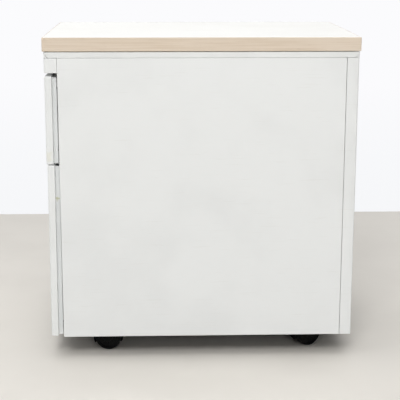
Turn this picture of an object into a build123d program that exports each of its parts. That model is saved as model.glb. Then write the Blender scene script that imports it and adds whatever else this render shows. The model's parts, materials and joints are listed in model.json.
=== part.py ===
from build123d import *
import math
import os

# Desk pedestal: a folded sheet steel case on four twin-wheel casters, with a pen drawer, a file drawer
# and a board on top. Millimetres. Z is up, the origin is on the floor under the middle of the board,
# the drawer fronts face -Y and X runs across. "Right" is +X, "left" is -X.

# Board
TOP_WIDTH = 400.0
TOP_DEPTH = 580.0
TOP_THICK = 25.0
BAND_THICK = 2.0
BAND_ROUND = 1.2
BAND_CORNER = 1.6

# Case outline under the board
SIDE_OVERHANG = 2.5
FRONT_OVERHANG = 2.5
REAR_OVERHANG = 2.5
FLOOR_GAP = 42.0
CASE_HEIGHT = 531.8
STRIP_HEIGHT = 11.0
TOP_PLATE_THICK = 1.2
TOP_PLATE_INSET = 7.0
SHEET = 1.0
EDGE_ROUND = 0.8
FRONT_CORNER = 4.0
REAR_CORNER = 3.0

# Top strips: a wall with an upper and a lower flange, corners cut at 45 degrees
STRIP_SHEET = 1.2
STRIP_TOP_FLANGE = 20.0
STRIP_LOW_FLANGE = 8.0
STRIP_CORNER_TAB = 6.5
STRIP_SEAM = 0.3
STRIP_CORNER_ROUND = 1.0

# Side panels, liners, rear panel and base
PANEL_SETBACK = 23.7
PANEL_FLANGE = 18.0
LINER_SHEET = 1.0
LINER_EDGE_GAP = 0.4
REAR_RETURN = 22.0
REAR_SEAM = 0.7
REAR_FLANGE = 15.0
BASE_SHEET = 1.2
BASE_SIDE_FLANGE = 24.0
BASE_DOWN_FLANGE = 18.0
BASE_FRONT_GAP = 1.3

# Front rail
RAIL_HEIGHT = 27.0
RAIL_SEAM = 0.4
RAIL_RETURN = 8.0

# Drawer fronts: an outer skin and a narrower inner pan behind it, whose step is the finger grip
RAIL_GAP = 5.7
UPPER_FRONT_HEIGHT = 163.0
FRONT_GAP = 2.1
LOWER_FRONT_LIFT = 2.1
SKIN_DEPTH = 13.0
PAN_DEPTH = 8.5
SKIN_RETURN = 22.0
FRONT_EDGE_ROUND = 1.5
GRIP_INSET = 12.0
PAN_TOP_DROP = 3.2
UPPER_REVEAL = 2.2
LOWER_REVEAL = 0.9
LOWER_LEAN_DEG = 0.22

# Drawer boxes
BOX_SHEET = 0.8
BOX_RIM = 7.0
BOX_REAR_GAP = 52.5
UPPER_BOX_LIFT = 10.0
UPPER_BOX_HEIGHT = 120.0
LOWER_BOX_GAP = 4.9
LOWER_BOX_DROP = 35.9

# Slides: channels that nest in each other
SLIDE_SPACE = 13.2
SLIDE_LENGTH = 500.0
SLIDE_SETBACK = 7.8
SLIDE_SHEET = 1.2
SLIDE_PLAY = 0.3
SLIDE_LIP = 10.0
UPPER_SLIDE_HEIGHT = 35.0
LOWER_SLIDE_HEIGHT = 45.0
UPPER_SLIDE_LIFT = 52.0
LOWER_SLIDE_LIFT = 133.0
CASE_SCREW_PLACES = (20.0, 210.0, 480.0)
BOX_SCREW_PLACES = (34.0, 250.0, 462.0)

# Screws
SCREW_PLAY = 0.1
SLIDE_SCREW_RADIUS = 1.8
SLIDE_SCREW_HEAD = 3.5
SLIDE_SCREW_TAIL = 3.0
BOX_SCREW_RADIUS = 1.7
BOX_SCREW_HEAD = 3.2
BOX_SCREW_HEAD_THICK = 1.4
BOX_SCREW_TAIL = 1.5
FRONT_SCREW_RADIUS = 2.0
FRONT_SCREW_HEAD = 4.0
FRONT_SCREW_HEAD_THICK = 2.0
FRONT_SCREW_TAIL = 4.0
FRONT_SCREW_FROM_SIDE = 77.5
FRONT_SCREW_END_GAP = 22.0
BOARD_SCREW_RADIUS = 2.0
BOARD_SCREW_HEAD = 4.2
BOARD_SCREW_HEAD_THICK = 2.2
BOARD_SCREW_BITE = 15.0
BOARD_SCREW_FROM_SIDE = 87.5
BOARD_SCREW_FROM_END = 57.5

# Pen tray
TRAY_DEPTH = 110.0
TRAY_DROP = 26.0
TRAY_LIP = 1.6
TRAY_WALL = 1.8
TRAY_FRONT_GAP = 3.0
TRAY_SIDE_PLAY = 0.8
TRAY_LIP_REACH = 6.0
TRAY_LIFT = 0.1
TRAY_TROUGHS = 3
TRAY_SPLIT = 60.0
TRAY_ROUND = 3.0

# File divider
DIVIDER_SHEET = 1.2
DIVIDER_CENTRE = -20.0
DIVIDER_FLOOR_GAP = 1.0
DIVIDER_RISE = 12.0
DIVIDER_FOOT = 25.0
DIVIDER_SIDE_PLAY = 1.0
DIVIDER_EAR_REACH = 5.5
DIVIDER_LIFT = 0.1

# Counterweight on the base behind the file drawer
WEIGHT_FROM_SIDE = 57.5
WEIGHT_DEPTH = 38.0
WEIGHT_HEIGHT = 100.0
WEIGHT_REAR_GAP = 4.5
WEIGHT_ROUND = 3.0
WEIGHT_BOLT_RADIUS = 4.0
WEIGHT_BOLT_FROM_SIDE = 107.5
WEIGHT_BOLT_BITE = 25.0
WEIGHT_BOLT_HEAD = 6.5
WEIGHT_BOLT_HEAD_THICK = 5.3

# Casters
CASTER_FROM_SIDE = 63.5
CASTER_FROM_END = 93.5
CASTER_HEIGHT = 62.0
CASTER_TRAIL = 15.0
CASTER_TURNS_DEG = {"front_right": -10.0, "rear_right": 28.0, "front_left": 6.0, "rear_left": -14.0}
WHEEL_WIDTH = 11.6
WHEEL_INNER = 7.2
WHEEL_ROUND = 2.5
WHEEL_DISH_INNER = 9.0
WHEEL_RIM = 5.5
WHEEL_DISH_DEPTH = 1.8
WHEEL_HUB_RADIUS = 6.0
WHEEL_CAP = 1.4
WEB_THICK = 7.0
AXLE_RADIUS = 3.0
AXLE_PLAY = 0.08
HUB_PLAY = 0.3
PLATE_SIZE = 44.0
PLATE_THICK = 2.0
PLATE_CORNER = 4.0
PLATE_HOLE_SPACING = 33.0
PLATE_SCREW_RADIUS = 2.5
PLATE_SCREW_HEAD = 4.0
PLATE_SCREW_HEAD_THICK = 2.2
PLATE_SCREW_TAIL = 4.0
PLATE_HOLE_PLAY = 0.2
STEM_RADIUS = 4.0
STEM_LENGTH = 30.0
STEM_PLAY = 0.08
STEM_END_GAP = 0.5
BOSS_RADIUS = 6.4
HOOD_TOP_RADIUS = 14.0
HOOD_TOP_THICK = 5.0
HOOD_PLAY = 0.3
COWL_PLAY = 1.2
COWL_THICK = 1.9
COWL_FROM_DEG = 20.0
COWL_TO_DEG = 205.0
COWL_WIDTH = 38.0
WEB_LOW = 13.0
BOSS_FLOOR = 2.0
COWL_HEAD_GAP = 4.7

# Bumpers on the case's front edges
BUMPER_RADIUS = 2.4
BUMPER_THICK = 1.8
BUMPER_INSET = 3.0
UPPER_BUMPER_PLACES = (25.0, 140.0)
LOWER_BUMPER_PLACES = (25.0,)

# Lock in the left end of the rail, with a bar in the left side panel's hollow
LOCK_FROM_SIDE = 13.5
LOCK_FACE_RADIUS = 9.0
LOCK_FACE_THICK = 1.5
LOCK_BARREL_RADIUS = 8.0
LOCK_BARREL_LENGTH = 21.0
LOCK_HOLE_PLAY = 0.1
PLUG_RADIUS = 5.0
PLUG_PLAY = 0.08
PLUG_SHAFT_RADIUS = 3.0
PLUG_SHAFT_HOLE_PLAY = 0.5
KEYWAY_WIDTH = 1.8
KEYWAY_LENGTH = 6.6
KEYWAY_DEPTH = 7.0
CAM_THICK = 1.5
CAM_GAP = 0.5
CAM_HUB_RADIUS = 4.1
CAM_REACH = 6.0
CAM_SCREW_PLAY = 0.05
CAM_PAD_RADIUS = 2.5
CAM_PIN_RADIUS = 1.5
CAM_PIN_LENGTH = 3.2
CAM_SLOT_PLAY = 0.4
BAR_THICK = 1.5
BAR_GAP = 0.5
BAR_OUTER_GAP = 1.5
BAR_WIDTH = 11.0
BAR_BELOW_HOOK = 6.0
BAR_ABOVE_PIN = 8.0
HOOK_HEIGHT = 8.0
HOOK_REACH = 8.5
HOOK_PLAY = 1.2
CATCH_HEIGHT = 12.0
CATCH_REACH = 8.0
CATCH_SHEET = 1.2
CATCH_GAP = 1.0
UPPER_CATCH_LIFT = 82.0
LOWER_CATCH_DROP = 44.0
SLOT_PLAY = 1.0
GUIDE_HEIGHT = 10.0
GUIDE_PLAY = 0.3
GUIDE_WALL = 0.8
GUIDE_BACK = 1.2
GUIDE_LOW_DROP = 19.9
GUIDE_HIGH_DROP = 50.0

# Levels and planes that follow from the sizes above
CASE_X = TOP_WIDTH / 2 - SIDE_OVERHANG
CASE_FRONT = -TOP_DEPTH / 2 + FRONT_OVERHANG
CASE_REAR = TOP_DEPTH / 2 - REAR_OVERHANG
CASE_TOP = FLOOR_GAP + CASE_HEIGHT
STRIP_TOP = CASE_TOP + STRIP_HEIGHT
BOARD_BOTTOM = STRIP_TOP + TOP_PLATE_THICK
BOARD_TOP = BOARD_BOTTOM + TOP_THICK
PANEL_FRONT = CASE_FRONT + PANEL_SETBACK
PANEL_REAR = CASE_REAR - REAR_RETURN - REAR_SEAM
PANEL_INNER = CASE_X - PANEL_FLANGE
LINER_INNER = PANEL_INNER - LINER_SHEET
RAIL_BOTTOM = CASE_TOP - RAIL_HEIGHT
UPPER_FRONT_TOP = RAIL_BOTTOM - RAIL_GAP
UPPER_FRONT_BOTTOM = UPPER_FRONT_TOP - UPPER_FRONT_HEIGHT
LOWER_FRONT_TOP = UPPER_FRONT_BOTTOM - FRONT_GAP
LOWER_FRONT_BOTTOM = FLOOR_GAP + LOWER_FRONT_LIFT
PAN_X = CASE_X - GRIP_INSET
UPPER_PAN_REAR = PANEL_FRONT - UPPER_REVEAL
LOWER_PAN_REAR = PANEL_FRONT - LOWER_REVEAL
BOX_X = LINER_INNER - SLIDE_SPACE
BOX_REAR = CASE_REAR - BOX_REAR_GAP
UPPER_BOX_BOTTOM = UPPER_FRONT_BOTTOM + UPPER_BOX_LIFT
UPPER_BOX_TOP = UPPER_BOX_BOTTOM + UPPER_BOX_HEIGHT
BASE_TOP = CASTER_HEIGHT + BASE_SHEET
LOWER_BOX_BOTTOM = BASE_TOP + PLATE_SCREW_TAIL + LOWER_BOX_GAP
LOWER_BOX_TOP = LOWER_FRONT_TOP - LOWER_BOX_DROP
UPPER_SLIDE_Z = UPPER_BOX_BOTTOM + UPPER_SLIDE_LIFT
LOWER_SLIDE_Z = LOWER_BOX_BOTTOM + LOWER_SLIDE_LIFT
SLIDE_FRONT = PANEL_FRONT + SLIDE_SETBACK
SLIDE_REAR = SLIDE_FRONT + SLIDE_LENGTH
BOARD_SCREW_SIDE = CASE_X - BOARD_SCREW_FROM_SIDE
BOARD_SCREW_PLACES = (CASE_FRONT + BOARD_SCREW_FROM_END, 0.0, CASE_REAR - BOARD_SCREW_FROM_END)
FRONT_SCREW_SIDE = CASE_X - FRONT_SCREW_FROM_SIDE
WEIGHT_HALF_WIDTH = CASE_X - WEIGHT_FROM_SIDE
WEIGHT_BOLT_SIDE = CASE_X - WEIGHT_BOLT_FROM_SIDE
WEIGHT_Y = CASE_REAR - SHEET - WEIGHT_REAR_GAP - WEIGHT_DEPTH / 2
CASTER_SIDE = CASE_X - CASTER_FROM_SIDE
COWL_TOP = CASTER_HEIGHT - PLATE_THICK - PLATE_SCREW_HEAD_THICK - COWL_HEAD_GAP
WHEEL_RADIUS = (COWL_TOP - COWL_PLAY - COWL_THICK) / 2
WHEEL_DISH_OUTER = WHEEL_RADIUS - WHEEL_RIM
CASTER_ENDS = {"front": CASE_FRONT + CASTER_FROM_END, "rear": CASE_REAR - CASTER_FROM_END}
LOCK_X = CASE_X - LOCK_FROM_SIDE
LOCK_Z = CASE_TOP - RAIL_HEIGHT / 2
CAM_FRONT = PANEL_FRONT + SHEET + CAM_GAP
CAM_REAR = CAM_FRONT + CAM_THICK
BAR_FRONT = CAM_REAR + BAR_GAP
BAR_REAR = BAR_FRONT + BAR_THICK
BAR_OUTER = CASE_X - SHEET - BAR_OUTER_GAP
BAR_INNER = BAR_OUTER - BAR_WIDTH
CATCH_FRONT = BAR_REAR + CATCH_GAP
UPPER_CATCH_Z = UPPER_BOX_BOTTOM + UPPER_CATCH_LIFT
LOWER_CATCH_Z = LOWER_BOX_TOP - LOWER_CATCH_DROP
CAM_DIAGONAL = CAM_REACH * math.sqrt(0.5)
BAR_LIFT = 2 * CAM_DIAGONAL


ON_BASE = (Align.CENTER, Align.CENTER, Align.MIN)


def block(x, y, z):
    """A box between two corners, given as (low, high) pairs."""
    corner = Pos(x[0], y[0], z[0])
    return corner * Box(x[1] - x[0], y[1] - y[0], z[1] - z[0], align=(Align.MIN, Align.MIN, Align.MIN))


def rod_x(radius, x, y, z):
    """A cylinder along X between two x values."""
    return Pos(x[0], y, z) * Rot(0, 90, 0) * Cylinder(radius, x[1] - x[0], align=ON_BASE)


def rod_y(radius, x, y, z):
    """A cylinder along Y between two y values."""
    return Pos(x, y[0], z) * Rot(-90, 0, 0) * Cylinder(radius, y[1] - y[0], align=ON_BASE)


def rod_z(radius, x, y, z):
    """A cylinder along Z between two z values."""
    return Pos(x, y, z[0]) * Cylinder(radius, z[1] - z[0], align=ON_BASE)


def prism(points, plane, depth):
    """A flat outline in a plane, given depth along the plane's normal."""
    return extrude(plane * make_face(Polyline(*points, close=True)), amount=depth)


def edges_at(solid, axis, **places):
    """The edges along an axis whose middle lies at the given coordinates."""
    found = solid.edges().filter_by(axis)
    for name, value in places.items():
        found = [edge for edge in found if abs(getattr(edge.center(), name.upper()) - value) < 0.01]
    return found


def mirrored_x(solid):
    """The same piece on the other side of the middle."""
    return mirror(solid, about=Plane.YZ)


def save(node, *solids):
    """Write one node's solids to its own file."""
    shape = solids[0] if len(solids) == 1 else Compound(children=list(solids))
    export_step(shape, f"parts/{node}.step")


def make_worktop():
    """The board without its edge bands, with blind holes for its screws."""
    x = TOP_WIDTH / 2 - BAND_THICK
    y = TOP_DEPTH / 2 - BAND_THICK
    board = block((-x, x), (-y, y), (BOARD_BOTTOM, BOARD_TOP))
    for sx, sy in board_screw_places():
        bite = (BOARD_BOTTOM, BOARD_BOTTOM + BOARD_SCREW_BITE + SCREW_PLAY)
        board -= rod_z(BOARD_SCREW_RADIUS + SCREW_PLAY, sx, sy, bite)
    return board


def make_side_band():
    """The right edge band, over the full depth, rounded at its ends and long edges."""
    x = TOP_WIDTH / 2
    y = TOP_DEPTH / 2
    band = block((x - BAND_THICK, x), (-y, y), (BOARD_BOTTOM, BOARD_TOP))
    band = fillet(edges_at(band, Axis.Z, x=x), BAND_CORNER)
    return fillet(edges_at(band, Axis.Y, x=x), BAND_ROUND)


def make_end_band(side):
    """The front (-1) or rear (1) edge band, between the side bands."""
    x = TOP_WIDTH / 2 - BAND_THICK
    y = side * TOP_DEPTH / 2
    inner = y - side * BAND_THICK
    band = block((-x, x), (min(y, inner), max(y, inner)), (BOARD_BOTTOM, BOARD_TOP))
    return fillet(edges_at(band, Axis.X, y=y), BAND_ROUND)


def board_screw_places():
    """The x and y of each screw that holds the board."""
    return [(side * BOARD_SCREW_SIDE, y) for side in (-1, 1) for y in BOARD_SCREW_PLACES]


def make_top_plate():
    """The sheet that closes the case and lifts the board off the strips."""
    x = CASE_X - TOP_PLATE_INSET
    y = (CASE_FRONT + TOP_PLATE_INSET, CASE_REAR - TOP_PLATE_INSET)
    plate = block((-x, x), y, (STRIP_TOP, BOARD_BOTTOM))
    for sx, sy in board_screw_places():
        plate -= rod_z(BOARD_SCREW_RADIUS + SCREW_PLAY, sx, sy, (STRIP_TOP, BOARD_BOTTOM))
    return plate


def make_side_strip():
    """The right top strip, its wall's ends cut at 45 degrees over the corner tabs."""
    wall = STRIP_SHEET
    tab = STRIP_CORNER_TAB + STRIP_SEAM
    front = CASE_FRONT + wall + STRIP_SEAM
    rear = CASE_REAR - wall - STRIP_SEAM
    outline = [
        (front, STRIP_TOP),
        (front, CASE_TOP + tab),
        (front + tab, CASE_TOP),
        (rear - tab, CASE_TOP),
        (rear, CASE_TOP + tab),
        (rear, STRIP_TOP),
    ]
    strip = prism(outline, Plane.YZ.offset(CASE_X - wall), wall)
    reach = STRIP_TOP_FLANGE - wall
    flange = [
        (CASE_X - wall, front),
        (CASE_X - wall, rear),
        (CASE_X - STRIP_TOP_FLANGE, rear - reach),
        (CASE_X - STRIP_TOP_FLANGE, front + reach),
    ]
    strip += prism(flange, Plane.XY.offset(STRIP_TOP - wall), wall)
    low_y = (front + STRIP_TOP_FLANGE, rear - STRIP_TOP_FLANGE)
    strip += block((CASE_X - STRIP_LOW_FLANGE, CASE_X - wall), low_y, (CASE_TOP, CASE_TOP + wall))
    return strip


def make_end_strip(face, inward):
    """A front or rear top strip with its corner tabs; inward is 1 at the front, -1 at the rear."""
    wall = STRIP_SHEET
    behind = face + inward * wall
    strip = block((-CASE_X, CASE_X), sorted((face, behind)), (CASE_TOP, STRIP_TOP))
    strip = fillet(edges_at(strip, Axis.Z, y=face), STRIP_CORNER_ROUND)
    tab = [
        (behind, CASE_TOP),
        (behind + inward * STRIP_CORNER_TAB, CASE_TOP),
        (behind, CASE_TOP + STRIP_CORNER_TAB),
    ]
    for x in (-CASE_X, CASE_X - wall):
        strip += prism(tab, Plane.YZ.offset(x), wall)
    inner = face + inward * STRIP_TOP_FLANGE
    flange = [
        (-CASE_X + wall, behind),
        (CASE_X - wall, behind),
        (CASE_X - STRIP_TOP_FLANGE, inner),
        (-CASE_X + STRIP_TOP_FLANGE, inner),
    ]
    strip += prism(flange, Plane.XY.offset(STRIP_TOP - wall), wall)
    low_x = CASE_X - STRIP_TOP_FLANGE - STRIP_SEAM
    low_y = sorted((behind, face + inward * STRIP_LOW_FLANGE))
    strip += block((-low_x, low_x), low_y, (CASE_TOP, CASE_TOP + wall))
    return strip


def make_front_rail():
    """The box-section rail over the drawers, open behind, with the lock's hole."""
    rear = PANEL_FRONT - RAIL_SEAM
    rail = block((-CASE_X, CASE_X), (CASE_FRONT, rear), (RAIL_BOTTOM, CASE_TOP))
    rail = fillet(edges_at(rail, Axis.Z, y=CASE_FRONT), FRONT_CORNER)
    rail = fillet(edges_at(rail, Axis.X, y=CASE_FRONT), EDGE_ROUND)
    inner_x = CASE_X - SHEET
    inner_z = (RAIL_BOTTOM + SHEET, CASE_TOP - SHEET)
    hollow = block((-inner_x, inner_x), (CASE_FRONT + SHEET, rear - SHEET), inner_z)
    hollow = fillet(edges_at(hollow, Axis.Z, y=CASE_FRONT + SHEET), FRONT_CORNER - SHEET)
    open_x = CASE_X - RAIL_RETURN
    open_z = (RAIL_BOTTOM + RAIL_RETURN, CASE_TOP - RAIL_RETURN)
    rail -= hollow
    rail -= block((-open_x, open_x), (rear - SHEET, rear), open_z)
    rail -= rod_y(LOCK_BARREL_RADIUS + LOCK_HOLE_PLAY, -LOCK_X, (CASE_FRONT, CASE_FRONT + SHEET), LOCK_Z)
    return rail


def make_side_panel():
    """The right side panel: a sheet with four flanges turned inward."""
    y = (PANEL_FRONT, PANEL_REAR)
    z = (FLOOR_GAP, CASE_TOP)
    panel = block((PANEL_INNER, CASE_X), y, z)
    panel = fillet(edges_at(panel, Axis.Z, x=CASE_X), EDGE_ROUND)
    panel = fillet(edges_at(panel, Axis.Y, x=CASE_X), EDGE_ROUND)
    hollow_y = (PANEL_FRONT + SHEET, PANEL_REAR - SHEET)
    hollow_z = (FLOOR_GAP + SHEET, CASE_TOP - SHEET)
    return panel - block((PANEL_INNER, CASE_X - SHEET), hollow_y, hollow_z)


def make_left_side_panel():
    """The left side panel, with a hole in its front flange for the lock's shaft."""
    panel = mirrored_x(make_side_panel())
    hole = PLUG_SHAFT_RADIUS + PLUG_SHAFT_HOLE_PLAY
    return panel - rod_y(hole, -LOCK_X, (PANEL_FRONT, PANEL_FRONT + SHEET), LOCK_Z)


def slide_screw_places(z):
    """The y and z of the screws that hold a slide to its liner."""
    return [(SLIDE_FRONT + place, z) for place in CASE_SCREW_PLACES]


def box_screw_places(z):
    """The y and z of the screws that hold a slide to its drawer box."""
    return [(SLIDE_FRONT + place, z) for place in BOX_SCREW_PLACES]


def hook_level(catch_z):
    """The bottom of a lock bar hook that lies under a catch at this height."""
    return catch_z - HOOK_PLAY - HOOK_HEIGHT


def make_liner():
    """The right liner: the flat sheet inside the side panel that carries the slides."""
    y = (PANEL_FRONT + LINER_EDGE_GAP, PANEL_REAR - LINER_EDGE_GAP)
    z = (FLOOR_GAP + LINER_EDGE_GAP, CASE_TOP - LINER_EDGE_GAP)
    liner = block((LINER_INNER, PANEL_INNER), y, z)
    for level in (UPPER_SLIDE_Z, LOWER_SLIDE_Z):
        for sy, sz in slide_screw_places(level):
            liner -= rod_x(SLIDE_SCREW_RADIUS + SCREW_PLAY, (LINER_INNER, PANEL_INNER), sy, sz)
    return liner


def make_left_liner():
    """The left liner, with slots for the lock bar's hooks."""
    liner = mirrored_x(make_liner())
    slot_y = (BAR_FRONT - SLOT_PLAY, BAR_REAR + SLOT_PLAY)
    for catch_z in (UPPER_CATCH_Z, LOWER_CATCH_Z):
        low = hook_level(catch_z) - SLOT_PLAY
        high = hook_level(catch_z) + HOOK_HEIGHT + BAR_LIFT + SLOT_PLAY
        liner -= block((-PANEL_INNER, -LINER_INNER), slot_y, (low, high))
    return liner


def make_rear_panel():
    """The rear panel, wrapped round both rear corners, with flanges turned inward all round."""
    front = CASE_REAR - REAR_RETURN
    panel = block((-CASE_X, CASE_X), (front, CASE_REAR), (FLOOR_GAP, CASE_TOP))
    panel = fillet(edges_at(panel, Axis.Z, y=CASE_REAR), REAR_CORNER)
    panel = fillet(edges_at(panel, Axis.X, y=CASE_REAR), EDGE_ROUND)
    inner_x = CASE_X - SHEET
    hollow_z = (FLOOR_GAP + SHEET, CASE_TOP - SHEET)
    hollow = block((-inner_x, inner_x), (front + SHEET, CASE_REAR - SHEET), hollow_z)
    hollow = fillet(edges_at(hollow, Axis.Z, y=CASE_REAR - SHEET), REAR_CORNER - SHEET)
    open_x = CASE_X - REAR_FLANGE
    return panel - hollow - block((-open_x, open_x), (front, front + SHEET), hollow_z)


def caster_places():
    """Each caster's name with the x and y of its stem."""
    places = {}
    for end, y in CASTER_ENDS.items():
        for side, x in (("right", CASTER_SIDE), ("left", -CASTER_SIDE)):
            places[f"{end}_{side}"] = (x, y)
    return places


def plate_screw_places():
    """The x and y of all caster plate screws."""
    half = PLATE_HOLE_SPACING / 2
    corners = [(sx * half, sy * half) for sx in (-1, 1) for sy in (-1, 1)]
    return [(x + cx, y + cy) for x, y in caster_places().values() for cx, cy in corners]


def make_base_pan():
    """The base sheet, with flanges up at the sides and down at the front and rear."""
    x = LINER_INNER
    front = PANEL_FRONT + BASE_FRONT_GAP
    rear = CASE_REAR - SHEET
    pan = block((-x, x), (front, rear), (CASTER_HEIGHT, BASE_TOP))
    side_z = (BASE_TOP, CASTER_HEIGHT + BASE_SIDE_FLANGE)
    side_y = (front, PANEL_REAR)
    pan += block((x - BASE_SHEET, x), side_y, side_z)
    pan += block((-x, -x + BASE_SHEET), side_y, side_z)
    down_z = (CASTER_HEIGHT - BASE_DOWN_FLANGE, CASTER_HEIGHT)
    pan += block((-x, x), (front, front + BASE_SHEET), down_z)
    pan += block((-x, x), (rear - BASE_SHEET, rear), down_z)
    for sx, sy in plate_screw_places():
        pan -= rod_z(PLATE_SCREW_RADIUS + PLATE_HOLE_PLAY, sx, sy, (CASTER_HEIGHT, BASE_TOP))
    for side in (-1, 1):
        hole = WEIGHT_BOLT_RADIUS + PLATE_HOLE_PLAY
        pan -= rod_z(hole, side * WEIGHT_BOLT_SIDE, WEIGHT_Y, (CASTER_HEIGHT, BASE_TOP))
    return pan


def make_counterweight():
    """The cast block that keeps the pedestal from tipping with a drawer out."""
    half_y = WEIGHT_DEPTH / 2
    y = (WEIGHT_Y - half_y, WEIGHT_Y + half_y)
    weight = block((-WEIGHT_HALF_WIDTH, WEIGHT_HALF_WIDTH), y, (BASE_TOP, BASE_TOP + WEIGHT_HEIGHT))
    weight = fillet(weight.edges().filter_by(Axis.Z), WEIGHT_ROUND)
    for side in (-1, 1):
        bite = (BASE_TOP, BASE_TOP + WEIGHT_BOLT_BITE + SCREW_PLAY)
        weight -= rod_z(WEIGHT_BOLT_RADIUS + SCREW_PLAY, side * WEIGHT_BOLT_SIDE, WEIGHT_Y, bite)
    return weight


def channel(web, tip, level, half_height, y):
    """A slide member: a web between two x values and two flanges that reach to tip."""
    near = sorted((web[0], web[1], tip))
    full = block((near[0], near[2]), y, (level - half_height, level + half_height))
    hollow_x = (web[1], tip) if tip > web[1] else (tip, web[0])
    inner = half_height - SLIDE_SHEET
    return full - block(hollow_x, y, (level - inner, level + inner))


def make_outer_member(level, height):
    """A right slide member on the case, open towards the drawer, with sunk screw holes."""
    web = (LINER_INNER - SLIDE_SHEET, LINER_INNER)
    member = channel(web, LINER_INNER - SLIDE_LIP, level, height / 2, (SLIDE_FRONT, SLIDE_REAR))
    for y, z in slide_screw_places(level):
        member -= sunk_screw(y, z, SCREW_PLAY, 0.0)
    return member


def sunk_screw(y, z, play, tail):
    """A sunk screw in the right slide's web; with play it is the screw's hole."""
    head = SLIDE_SCREW_HEAD + play
    shank = SLIDE_SCREW_RADIUS + play
    seat = LINER_INNER - SLIDE_SHEET
    cone = Cone(head, shank, SLIDE_SHEET, align=(Align.CENTER, Align.CENTER, Align.MIN))
    screw = Pos(seat, y, z) * Rot(0, 90, 0) * cone
    if tail > 0:
        screw += rod_x(shank, (LINER_INNER, PANEL_INNER + tail), y, z)
    return screw


def make_middle_member():
    """The right middle member of the file drawer's slides."""
    web_outer = LINER_INNER - SLIDE_SHEET - SLIDE_PLAY
    web = (web_outer - SLIDE_SHEET, web_outer)
    half = LOWER_SLIDE_HEIGHT / 2 - SLIDE_SHEET - SLIDE_PLAY
    tip = LINER_INNER - SLIDE_LIP - SLIDE_SHEET
    return channel(web, tip, LOWER_SLIDE_Z, half, (SLIDE_FRONT, SLIDE_REAR))


def make_inner_member(level, height, layers):
    """A right slide member on the drawer, inside one or two outer layers."""
    step = SLIDE_SHEET + SLIDE_PLAY
    half = height / 2 - layers * step
    tip = LINER_INNER - layers * step
    member = channel((BOX_X, BOX_X + SLIDE_SHEET), tip, level, half, (SLIDE_FRONT, SLIDE_REAR))
    for y, z in box_screw_places(level):
        member -= rod_x(BOX_SCREW_RADIUS + SCREW_PLAY, (BOX_X, BOX_X + SLIDE_SHEET), y, z)
    return member


def make_skin(rear, bottom, top):
    """A drawer front's outer skin: a hollow shell with returns round its open back."""
    front = rear - SKIN_DEPTH
    skin = block((-CASE_X, CASE_X), (front, rear), (bottom, top))
    skin = fillet(edges_at(skin, Axis.Z, y=front), FRONT_CORNER)
    skin = fillet(edges_at(skin, Axis.X, y=front), FRONT_EDGE_ROUND)
    inner_x = CASE_X - SHEET
    hollow = block((-inner_x, inner_x), (front + SHEET, rear - SHEET), (bottom + SHEET, top - SHEET))
    hollow = fillet(edges_at(hollow, Axis.Z, y=front + SHEET), FRONT_CORNER - SHEET)
    open_x = PAN_X - SKIN_RETURN
    open_z = (bottom + SKIN_RETURN, top - SKIN_RETURN)
    return skin - hollow - block((-open_x, open_x), (rear - SHEET, rear), open_z)


def front_screw_places(low, high):
    """The x and z of the screws from a drawer box into its front."""
    levels = (low + FRONT_SCREW_END_GAP, high - FRONT_SCREW_END_GAP)
    return [(side * FRONT_SCREW_SIDE, z) for side in (-1, 1) for z in levels]


def make_pan(rear, bottom, top, screw_places):
    """A drawer front's inner pan, open towards the skin, with holes for the box's screws."""
    front = rear - PAN_DEPTH
    pan = block((-PAN_X, PAN_X), (front, rear), (bottom, top - PAN_TOP_DROP))
    pan = fillet(pan.faces().sort_by(Axis.Y)[-1].edges(), EDGE_ROUND)
    inner_x = PAN_X - SHEET
    hollow_z = (bottom + SHEET, top - PAN_TOP_DROP - SHEET)
    pan -= block((-inner_x, inner_x), (front, rear - SHEET), hollow_z)
    for x, z in screw_places:
        pan -= rod_y(FRONT_SCREW_RADIUS + SCREW_PLAY, x, (rear - SHEET, rear), z)
    return pan


def lean(solid):
    """Tip a lower front piece back at its top, about the box's top front edge."""
    pivot = Pos(0, LOWER_PAN_REAR, LOWER_BOX_TOP)
    return pivot * Rot(-LOWER_LEAN_DEG, 0, 0) * pivot.inverse() * solid


def make_box(front, low, high, slide_level, catch_z):
    """A drawer box with rims turned in along its sides and a catch tab on its left side."""
    y = (front, BOX_REAR)
    box = block((-BOX_X, BOX_X), y, (low, high))
    inner_x = BOX_X - BOX_SHEET
    inner_y = (front + BOX_SHEET, BOX_REAR - BOX_SHEET)
    box -= block((-inner_x, inner_x), inner_y, (low + BOX_SHEET, high - BOX_SHEET))
    open_x = BOX_X - BOX_RIM
    box -= block((-open_x, open_x), inner_y, (high - BOX_SHEET, high))
    for y_hole, z_hole in box_screw_places(slide_level):
        for x in ((inner_x, BOX_X), (-BOX_X, -inner_x)):
            box -= rod_x(BOX_SCREW_RADIUS + SCREW_PLAY, x, y_hole, z_hole)
    for x, z in front_screw_places(low, high):
        box -= rod_y(FRONT_SCREW_RADIUS + SCREW_PLAY, x, (front, front + BOX_SHEET), z)
    catch_y = (CATCH_FRONT, CATCH_FRONT + CATCH_SHEET)
    box += block((-BOX_X - CATCH_REACH, -BOX_X), catch_y, (catch_z, catch_z + CATCH_HEIGHT))
    return box


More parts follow.
